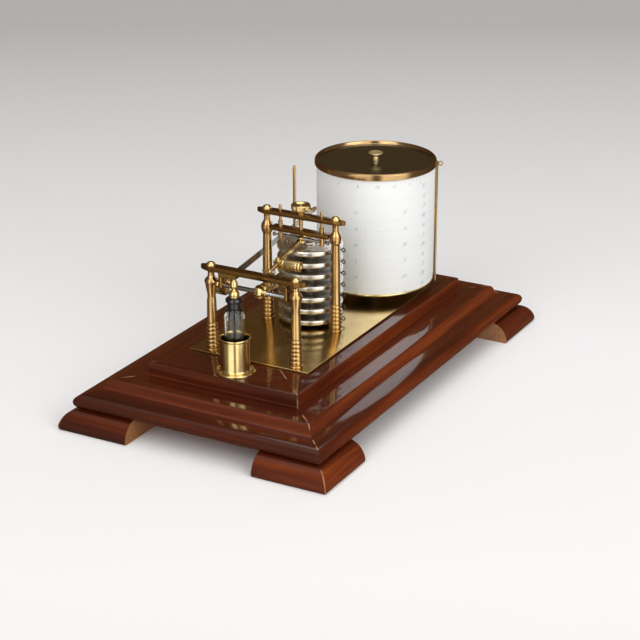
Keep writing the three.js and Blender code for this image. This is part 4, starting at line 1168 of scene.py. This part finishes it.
CRANK_HUB = [(1.92, 5.3, 0), (4.2, 5.3, 0.3), (5.0, 6.0, 0.5), (5.0, 9.2, 0.6),
             (4.2, 10.2, 0.6), (3.5, 10.9, 0.5), (3.4, 13.8, 0.3), (3.1, 14.3, 0.2),
             (1.92, 14.3, 0)]
CRANK_PIN = [(0, LEVER_Y + 1.6, 0), (0.6, LEVER_Y + 1.6), (0.6, 5.4, 0.1), (1.5, 5.4, 0.1),
             (1.55, 7.5, 0.3), (0, 7.6, 0)]
HUB_STUD = [(0, -1.2, 0), (1.2, -1.2, 0.2), (1.25, 1.0, 0.4), (0, 1.2, 0)]
crank_root = Vector((89.0, 98.0))
crank_end = Vector((LINK_X, CRANK_PIN_Z))
crank_dir = (crank_end - crank_root).normalized()
crank_up = Vector((-crank_dir.y, crank_dir.x))
# start, distance along the crank, distance across it
crank_outline = [tuple(start + crank_dir * ahead + crank_up * across)
                 for start, ahead, across in (
                     (crank_root, 0, 1.7), (crank_root, 0, -1.7), (crank_end, 0, -1.25),
                     (crank_end, 1.2, -0.6), (crank_end, 1.2, 0.6), (crank_end, 0, 1.25))]
piece("hub_and_crank", [
    lathe(CRANK_HUB, 40, PEN_CENTRE, "Y", closed=True),
    prism(rounded(crank_outline, 0.3), 5.6, 7.2, 0.2, axis="Y"),
    lathe(CRANK_PIN, 24, (LINK_X, 0, CRANK_PIN_Z), "Y"),
    lathe(HUB_STUD, 20, (PEN_AXIS[0], 12.4, PEN_AXIS[1] + 4.2)),
], "brass", "pen_axis", "pen_crank", angle=38)

GATE_X, GATE_Y = 80.0, -34.3
gate_y0, gate_y1 = front_y0 - 2.6, front_y0 - 0.4
GATE_OUTLINE = rounded([
    (76.4, 92.2, 0.5), (82.6, 92.2, 1.5), (91.0, 95.6, 2.5), (95.2, 96.4, 1.6),
    (96.2, 98.6, 1.4), (95.2, 100.9, 1.4), (92.6, 101.9, 2.0), (90.2, 101.2, 2.0),
    (84.0, 99.2, 2.0), (76.4, 98.4, 0.6)], 0.6, 4)
GATE_SCREW = [(0, -0.5, 0), (1.9, -0.5, 0), (1.95, 0.8, 0.2), (1.6, 1.2, 0.2), (0, 1.2, 0)]
GATE_PIN = [(0, 85.4, 0), (0.78, 85.4), (0.78, 96.3, 0.05), (1.4, 96.5, 0.1),
            (1.4, 97.0, 0.25), (0.6, 97.45, 0.3), (0, 97.5, 0)]
piece("pen_gate", [
    prism(GATE_OUTLINE, gate_y0, gate_y1, 0.25, [circle(1.2, 20, PEN_AXIS)], "Y"),
    box(77.2, 82.8, GATE_Y - 2.3, gate_y0 + 0.6, 94.4, 96.4, 0.3),
    box(77.2, 82.8, GATE_Y - 2.3, gate_y0 + 0.6, 86.2, 87.8, 0.3),
    box(77.2, 82.8, gate_y0 - 2.6, gate_y0 + 0.6, 86.2, 96.4, 0.3),
    lathe(lifted(GATE_SCREW, gate_y1), 28, (80.2, 0, 95.4), "Y"),
    lathe(GATE_PIN, 24, (GATE_X, GATE_Y, 0)),
], "brass", "pen_axis", "arm_gate", angle=35)

# =========================================================================
# pen arm: thin steel strip on edge, with a sleeve on the gate's pin
# =========================================================================
PEN_TIP = Vector((-66.5, 108.3))
arm_root = Vector((GATE_X, 91.0))
arm_dir = PEN_TIP - arm_root
arm_length = arm_dir.length - 3.4
arm_dir.normalize()
arm_up = Vector((arm_dir.y, -arm_dir.x))
# distance along the arm, height across it
ARM_STATIONS = [(0, 3.1), (0, -3.1), (arm_length * 0.35, -2.65), (arm_length - 3, -1.9),
                (arm_length, 0.0), (arm_length - 3, 1.9), (arm_length * 0.35, 2.65)]
arm_outline = [tuple(arm_root + Vector((-1.0, 0)) + arm_dir * s + arm_up * h)
               for s, h in ARM_STATIONS]
ARM_SLEEVE = [(0.85, 88.0, 0.1), (1.9, 88.0, 0.2), (2.0, 88.4, 0.1), (2.0, 93.8, 0.1),
              (1.9, 94.2, 0.2), (0.85, 94.2, 0.1)]
piece("strip_pen_arm", [
    prism(arm_outline, GATE_Y - 0.3, GATE_Y + 0.3, 0.1, axis="Y", steps=1),
    lathe(ARM_SLEEVE, 32, (GATE_X, GATE_Y, 0), closed=True),
], "arm_steel", "arm", "pen_arm", slot="steel", angle=35)

# x from the tip, half height, depth, turn-in towards the paper
NIB_STATIONS = [(4.0, 2.4, 1.5, 0.0), (1.0, 2.4, 1.5, 0.0), (-1.4, 2.1, 1.4, 0.05),
                (-2.6, 1.2, 0.9, 0.25), (-3.6, 0.55, 0.5, 0.42), (-4.2, 0.16, 0.2, 0.55)]


def trough_pen():
    """trough tapering to a writing point that turns in to the paper"""
    rings = []
    for out, half, depth, turn_in in NIB_STATIONS:
        x = PEN_TIP.x + out
        y = GATE_Y - 0.32 + turn_in
        z = PEN_TIP.y - 0.1 * (4 - out) / 8
        rings.append([(x, y, z - half), (x, y, z + half),
                      (x, y - depth, z + half * 0.55), (x, y - depth, z - half * 0.55)])
    return loft(rings)


piece("trough_pen", [trough_pen()], "bar", "arm", "pen", angle=35)

# =========================================================================
# pen lifter: a rod hinged between two ears
# =========================================================================
LIFTER_X, LIFTER_Y, LIFTER_Z = -30.0, -32.0, 51.6
ear = rounded([(LIFTER_Y - 2.0, PLATE_TOP + 1.2, 0), (LIFTER_Y + 2.0, PLATE_TOP + 1.2, 0),
               (LIFTER_Y + 2.0, LIFTER_Z + 0.6, 1.6), (LIFTER_Y + 1.0, LIFTER_Z + 2.2, 1.2),
               (LIFTER_Y - 1.0, LIFTER_Z + 2.2, 1.2), (LIFTER_Y - 2.0, LIFTER_Z + 0.6, 1.6)],
              0.3, 4)
bracket = [box(LIFTER_X - 4.4, LIFTER_X + 4.4, LIFTER_Y - 3.2, LIFTER_Y + 3.2,
               PLATE_TOP, PLATE_TOP + 1.6, 0.3)]
for x in (LIFTER_X - 3.6, LIFTER_X + 2.0):
    bracket.append(prism(ear, x, x + 1.6, 0.2, [circle(0.75, 18, (LIFTER_Y, LIFTER_Z))], "X"))
piece("lifter_bracket", bracket, "brass", "base", "lifter_foot", angle=35)

LIFTER_ROD = [(0, LIFTER_Z - 1.6, 0), (1.0, LIFTER_Z - 1.6), (1.3, LIFTER_Z - 1.2),
              (1.3, 153.6, 0.2), (1.0, 154.4, 0.3), (0, 154.5, 0)]
hinge = (0, LIFTER_Y, LIFTER_Z)
piece("upright_lifter", [
    lathe(LIFTER_ROD, 28, (LIFTER_X, LIFTER_Y, 0)),
    pin(0.68, LIFTER_X - 3.7, LIFTER_X + 3.7, 20, hinge, "X"),
    pin(1.5, LIFTER_X - 1.8, LIFTER_X + 1.8, 28, hinge, "X"),
], "pillar", "lifter", "lifter_rod", angle=38)

# =========================================================================
# ink cup, bottle and stopper
# =========================================================================
CUP_PROFILE = [
    (0, UPPER_TOP, 0), (14.5, UPPER_TOP, 0.1), (14.65, 46.0, 0.3), (13.95, 46.7, 0.4),
    (11.6, 47.05, 0.5), (10.88, 47.9, 0.6), (10.78, 49.4, 0.4), (10.78, 70.1, 0.4),
    (11.15, 70.7, 0.3), (11.58, 71.25, 0.2), (11.45, 71.9, 0.3), (11.0, 72.1, 0.2),
    (10.35, 71.7, 0.3), (10.02, 70.4, 0.3), (10.02, 48.2, 0.2), (0, 48.2, 0)]
piece("turned_ink_cup", [lathe(CUP_PROFILE, 96, CUP, arc=4)], "cup", "base", "ink_cup")

BOTTLE_PROFILE = [
    (0, 48.4, 0), (6.9, 48.4, 0.5), (7.58, 49.2, 0.5), (7.58, 86.6, 1.5), (7.2, 89.4, 1.2),
    (6.55, 91.4, 0.8), (6.4, 93.3, 0.3), (6.0, 94.0, 0.2), (5.5, 93.9, 0.2),
    (5.35, 91.4, 0.6), (5.9, 89.2, 1.2), (6.52, 86.4, 0.8), (6.52, 50.4, 0.6),
    (5.9, 49.8, 0.2), (0, 49.8, 0)]
piece("clear_ink_bottle", [lathe(BOTTLE_PROFILE, 72, CUP, arc=4)], "glass",
      "bottle", "ink_bottle", slot="clear_glass", angle=50)

STOPPER_PROFILE = [
    (0, 53.0, 0), (0.8, 53.1, 0.3), (1.3, 54.6, 0.4), (1.45, 83.2, 0.3), (2.6, 83.6, 0.6),
    (4.2, 84.8, 0.9), (4.85, 87.2, 1.0), (4.95, 91.2, 0.5), (4.95, 96.0, 0.3),
    (4.95, 98.5, 0.3), (6.15, 99.1, 0.4), (6.38, 100.4, 0.5), (5.7, 101.6, 0.5),
    (3.8, 102.2, 0.2), (0, 102.2, 0)]
piece("black_tapered_stopper", [lathe(STOPPER_PROFILE, 56, CUP, arc=4)], "black",
      "stopper", "ink_stopper", slot="black_stopper")

FINIAL_PROFILE = [
    (0, 102.2, 0), (3.5, 102.2, 0.1), (3.9, 102.8, 0.3), (3.7, 103.4, 0.1), (4.0, 104.2, 0.6),
    (3.9, 105.6, 0.8), (3.1, 106.8, 0.5), (1.9, 107.3, 0.3), (1.5, 107.9, 0.4),
    (2.0, 108.9, 0.6), (2.8, 110.6, 1.0), (2.85, 112.6, 1.0), (2.3, 114.4, 0.8),
    (1.2, 115.6, 0.5), (0, 115.9, 0)]
piece("stopper_finial", [lathe(FINIAL_PROFILE, 48, CUP, arc=4)], "brass",
      "stopper", "stopper_knob")

# =========================================================================
# drum, chart, lid, knob, clip
# =========================================================================
DRUM_PROFILE = [
    (3.0, 53.5, 0), (46.4, 53.5, 0.2), (47.2, 54.0, 0.4), (47.3, 54.7, 0.3), (47.1, 55.3, 0.3),
    (46.2, 55.5, 0.1), (46.0, 55.6, 0.1), (46.0, 149.4, 0.1), (44.9, 149.4, 0.1),
    (44.9, 55.5, 0.2), (5.2, 55.5, 0.2), (5.2, 84, 0.2), (3.0, 84, 0.1)]
piece("brass_drum_shell", [lathe(DRUM_PROFILE, 144, DRUM, closed=True)], "drum",
      "drum", "drum")

CHART_PROFILE = [(46.05, 55.7, 0), (46.5, 55.7, 0.08), (46.5, 149.2, 0.08), (46.05, 149.2, 0)]
piece("wrapped_chart", [lathe(CHART_PROFILE, 180, DRUM, closed=True)], "paper",
      "drum", "chart", slot="chart_paper")

LID_PROFILE = [
    (0, 149.8, 0), (43.2, 149.8, 0.1), (43.2, 146.8, 0.1), (44.6, 146.8, 0.1),
    (44.6, 149.8, 0.1), (46.8, 149.8, 0.1), (46.8, 148.4, 0.1), (47.6, 148.3, 0.2),
    (48.05, 148.8, 0.3), (48.05, 151.2, 0.8), (47.9, 152.4, 0.8), (47.2, 153.35, 0.7),
    (46.4, 153.6, 0.4), (45.7, 153.3, 0.5), (45.2, 152.4, 0.5), (44.9, 151.4, 0.25),
    (44.5, 151.2, 0.2), (20, 151.2, 0), (0, 151.2, 0)]
piece("beaded_drum_lid", [lathe(LID_PROFILE, 160, DRUM, arc=4)], "lid", "lid", "drum_lid")

KNOB_PROFILE = [
    (0, 151.2, 0), (2.6, 151.2, 0.1), (2.7, 151.6, 0.1), (2.1, 152.0, 0.2), (2.35, 152.9, 0.6),
    (2.1, 153.9, 0.5), (1.25, 154.6, 0.4), (1.3, 155.4, 0.4), (3.0, 156.0, 0.5),
    (5.1, 156.4, 0.4), (5.75, 156.9, 0.3), (5.7, 157.4, 0.25), (5.0, 157.5, 0.3),
    (2.6, 156.95, 0.6), (1.2, 157.1, 0.4), (0, 157.2, 0)]
piece("lid_finger_knob", [lathe(KNOB_PROFILE, 56, DRUM, arc=4)], "knob", "lid", "lid_knob")

# clip, drawn in the XZ plane of a radius and then turned to its place
CLIP_OUTLINE = rounded([
    (46.82, 56.0, 0.1), (47.65, 56.0, 0.2), (47.7, 50.7, 0.1), (48.85, 50.3, 0.3),
    (49.28, 51.4, 0.3), (49.2, 60.0, 1.5), (49.2, 146.0, 1.0), (49.48, 149.6, 0.5),
    (48.9, 150.38, 0.4), (48.4, 150.15, 0.2), (48.33, 148.3, 0.1), (47.9, 147.75, 0.2),
    (46.82, 147.6, 0.2)], 0.3, 4)
clip_matrix = Matrix.Translation(DRUM) @ Matrix.Rotation(math.radians(117.5), 4, "Z")
clip_shells = [
    prism(CLIP_OUTLINE, -1.9, 1.9, 0.6, axis="Y", steps=3),
    pin(0.94, -2.3, 2.3, 24, (48.6, 0, 57.6), corner=0.2),
    tube([(x, 0.0, z) for x, z in circle(1.6, 28, (51.0, 148.6))], [0.55] * 28, 12, closed=True),
]
piece("spring_chart_clip", [moved(shell, clip_matrix) for shell in clip_shells], "clip",
      "clip", "chart_clip", angle=38)

# hidden works keep their CAD solids
for node, material in (("drum_spindle", "spindle"), ("fixed_wheel", "brass"),
                       ("clock_frame", "brass"), ("drive_pinion", "spindle"),
                       ("mainspring_barrel", "brass"), ("winding_arbor", "spindle")):
    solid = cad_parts[node]
    solid.data.materials.clear()
    solid.data.materials.append(MATERIALS[material])

# =========================================================================
# printed figures on the chart, as thin raised ink following the drum
# =========================================================================
PRINT_RADIUS = 46.5
INK_RADII = (46.53, 46.49)      # front and back of the ink
FACING = (1180.74, 652.62)      # point in plan that the columns are arranged to face
facing_angle = math.atan2(FACING[1] - DRUM_Y, FACING[0] - DRUM_X)


def column_angle(offset):
    """angle of a column set off sideways by a share of the radius"""
    return facing_angle + math.asin(offset)


def printed(source, text, angle, z, size):
    """shell of one label, each glyph closed into a thin slab"""
    source.data.body = text
    bpy.context.view_layer.update()
    depsgraph = bpy.context.evaluated_depsgraph_get()
    flat = bpy.data.meshes.new_from_object(source.evaluated_get(depsgraph))
    n = len(flat.vertices)
    verts = []
    for radius in INK_RADII:
        for vertex in flat.vertices:
            a = angle + vertex.co.x * size / PRINT_RADIUS
            verts.append((DRUM_X + radius * math.cos(a), DRUM_Y + radius * math.sin(a),
                          z + vertex.co.y * size))
    faces = [tuple(polygon.vertices) for polygon in flat.polygons]
    bpy.data.meshes.remove(flat)
    edges = [(face[i], face[(i + 1) % len(face)]) for face in faces for i in range(len(face))]
    uses = Counter(frozenset(edge) for edge in edges)
    sides = [(b, a, a + n, b + n) for a, b in edges if uses[frozenset((a, b))] == 1]
    back = [tuple(i + n for i in reversed(face)) for face in faces]
    return verts, faces + back + sides


font = bpy.data.curves.new("fig_src", "FONT")
source = bpy.data.objects.new("fig_src", font)
bpy.context.scene.collection.objects.link(source)
font.size = 1.0
font.shear = 0.35
font.align_x = "CENTER"
font.align_y = "CENTER"

labels = {"ink": [], "inkgrey": []}
for i in range(11):
    text = (str(31 - i // 3), ".6", ".3")[i % 3]
    labels["ink"].append(printed(source, text, column_angle(0.80), 139.0 - i * 8.0, size=5.0))
for offset in (-0.33, 0.49):
    for i in range(6):
        text = (str(31 - i // 2), ".5")[i % 2]
        labels["inkgrey"].append(
            printed(source, text, column_angle(offset), 121.5 - i * 13.2, size=4.2))
for i, offset in enumerate((-0.93, -0.62, -0.30, 0.02, 0.30, 0.56, 0.74)):
    hour = str((2 * i + 4) % 12 or 12)
    labels["inkgrey"].append(printed(source, hour, column_angle(offset), 143.0, size=3.4))
bpy.data.objects.remove(source)
for ink, shells in labels.items():
    piece("chart_figures_" + ink, shells, ink, "drum", slot="chart_paper", angle=20)


# =========================================================================
# stage, in metres: pale floor sweeping up into a backdrop
# =========================================================================
def studio_paper():
    m = Material("studio_paper")
    noise = m.noise(m.mapping(), scale=3.0, detail=3.0, roughness=0.5)
    x, y, _ = m.split(m.place)
    towards_camera = m.plus(m.times(x, math.cos(CAMERA_AZIMUTH)),
                            m.times(y, math.sin(CAMERA_AZIMUTH)))
    # painted shade: the paper is coloured darker away from the camera and up the backdrop,
    # standing in for the light falling off
    tone = m.ramp(m.remap(towards_camera, span=(-1.2, 0.6)), [
        (0.0, srgb(178, 179, 183)), (0.33, srgb(209, 210, 214)), (0.64, srgb(233, 235, 240)),
        (0.85, srgb(240, 241, 245)), (1.0, srgb(232, 233, 237))])
    m.surface({"Base Color": m.mix(m.times(noise, 0.06), tone, srgb(210, 210, 214)),
               "Roughness": 0.85, "Specular IOR Level": 0.1})
    return m.material


def studio_sweep():
    near, bend, radius, top, half_width = 3.2, -1.5, 1.1, 4.5, 5.0
    profile = [(near, 0.0), (bend, 0.0)]        # (distance towards the camera, height)
    for k in range(1, 17):
        a = math.pi / 2 * k / 16
        profile.append((bend - radius * math.sin(a), radius * (1 - math.cos(a))))
    profile.append((bend - radius, top))
    ca, sa = math.cos(CAMERA_AZIMUTH), math.sin(CAMERA_AZIMUTH)
    # a hair below zero, so that the feet don't share its plane
    verts = [(p * ca - w * sa, p * sa + w * ca, z - 0.00002)
             for p, z in profile for w in (-half_width, half_width)]
    faces = [(a, a + 1, a + 3, a + 2) for a in range(0, 2 * len(profile) - 2, 2)]
    mesh = bpy.data.meshes.new("studio_sweep")
    mesh.from_pydata(verts, [], faces)
    mesh.shade_smooth()
    ob = bpy.data.objects.new("studio_sweep", mesh)
    bpy.context.scene.collection.objects.link(ob)
    mesh.materials.append(studio_paper())
    ob.visible_glossy = False       # polished metal and wood mirror the room, not the paper


def softbox(name, azimuth, elevation, distance, width, height, power):
    """area light aimed at the plinth; azimuth in degrees round from the camera"""
    aim = Vector((0, 0, 0.06))
    light = bpy.data.lights.new(name, "AREA")
    light.shape = "RECTANGLE"
    light.size = width
    light.size_y = height
    light.energy = power
    ob = bpy.data.objects.new(name, light)
    a = math.radians(math.degrees(CAMERA_AZIMUTH) + azimuth)
    e = math.radians(elevation)
    outward = Vector((math.cos(a) * math.cos(e), math.sin(a) * math.cos(e), math.sin(e)))
    ob.location = outward * distance + aim
    ob.rotation_mode = "QUATERNION"
    ob.rotation_quaternion = (-outward * distance).to_track_quat("-Z", "Y")
    bpy.context.scene.collection.objects.link(ob)


studio_sweep()
softbox("key_softbox", azimuth=50, elevation=34, distance=2.2, width=1.3, height=1.0, power=9.4)
softbox("front_softbox", azimuth=-30, elevation=36, distance=2.2, width=1.2, height=0.9,
        power=6.9)
softbox("top_softbox", azimuth=150, elevation=74, distance=2.3, width=1.8, height=1.4,
        power=8.6)


def studio_world():
    """the mirrored room: dim and warm, with a soft panel either side of the viewer"""
    world = bpy.data.worlds.new("studio")
    bpy.context.scene.world = world
    world.use_nodes = True
    w = Nodes(world.node_tree)
    output = w.add("ShaderNodeOutputWorld")
    background = w.add("ShaderNodeBackground")
    x, y, z = w.split(w.add("ShaderNodeTexCoord").outputs["Generated"])
    ca, sa = math.cos(CAMERA_AZIMUTH), math.sin(CAMERA_AZIMUTH)
    forward = w.plus(w.times(x, ca), w.times(y, sa))
    right = w.plus(w.times(x, -sa), w.times(y, ca))
    degrees = 180 / math.pi
    bearing = w.times(w.calc("ARCTAN2", right, forward), degrees)
    elevation = w.times(w.calc("ARCSINE", z), degrees)

    def band(value, rise, fall):
        """smooth window between two angles in degrees"""
        smooth = {"interpolation_type": "SMOOTHSTEP"}
        return w.times(w.remap(value, span=rise, **smooth),
                       w.remap(value, span=fall, to=(1.0, 0.0), **smooth))

    upright = band(elevation, rise=(-70, -50), fall=(55, 75))
    panels = w.plus(w.times(band(bearing, rise=(5, 13), fall=(50, 70)), 1.7),
                    w.times(band(bearing, rise=(-58, -42), fall=(-12, -5)), 1.4))
    panels = w.times(panels, upright)
    side_glow = w.times(band(bearing, rise=(-140, -60), fall=(70, 150)), 0.16)
    overhead = w.times(band(elevation, rise=(42, 80), fall=(91, 92)), 0.9)
    brightness = w.plus(w.plus(panels, side_glow), overhead)
    dim_room, panel_white = (0.105, 0.063, 0.028), (1.0, 0.97, 0.90)
    colour = w.mix(w.calc("MINIMUM", brightness, 1.0), dim_room, panel_white)
    w.feed(background.inputs[0], colour)
    w.feed(background.inputs[1], w.calc("MAXIMUM", brightness, 1.0))
    w.feed(output.inputs[0], background.outputs[0])
    world.cycles.sampling_method = "NONE"


def add_camera():
    data = bpy.data.cameras.new("camera")
    ob = bpy.data.objects.new("camera", data)
    bpy.context.scene.collection.objects.link(ob)
    # rotation vector from the world to axes of x right, y down, z ahead
    turn = Vector((1.132, 1.897, -1.287))
    right, down, ahead = Matrix.Rotation(turn.length, 3, turn.normalized())
    axes = Matrix((right, -down, -ahead)).transposed()
    ob.matrix_world = Matrix.Translation(CAMERA) @ axes.to_4x4()
    data.sensor_width = 36.0
    data.lens = 105.66095625
    data.shift_x = -0.0186078125
    data.shift_y = -0.0011890625
    data.clip_start = 0.05
    data.clip_end = 30
    bpy.context.scene.camera = ob


studio_world()
add_camera()
bpy.context.scene.view_settings.view_transform = "Standard"
bpy.context.scene.view_settings.look = "None"
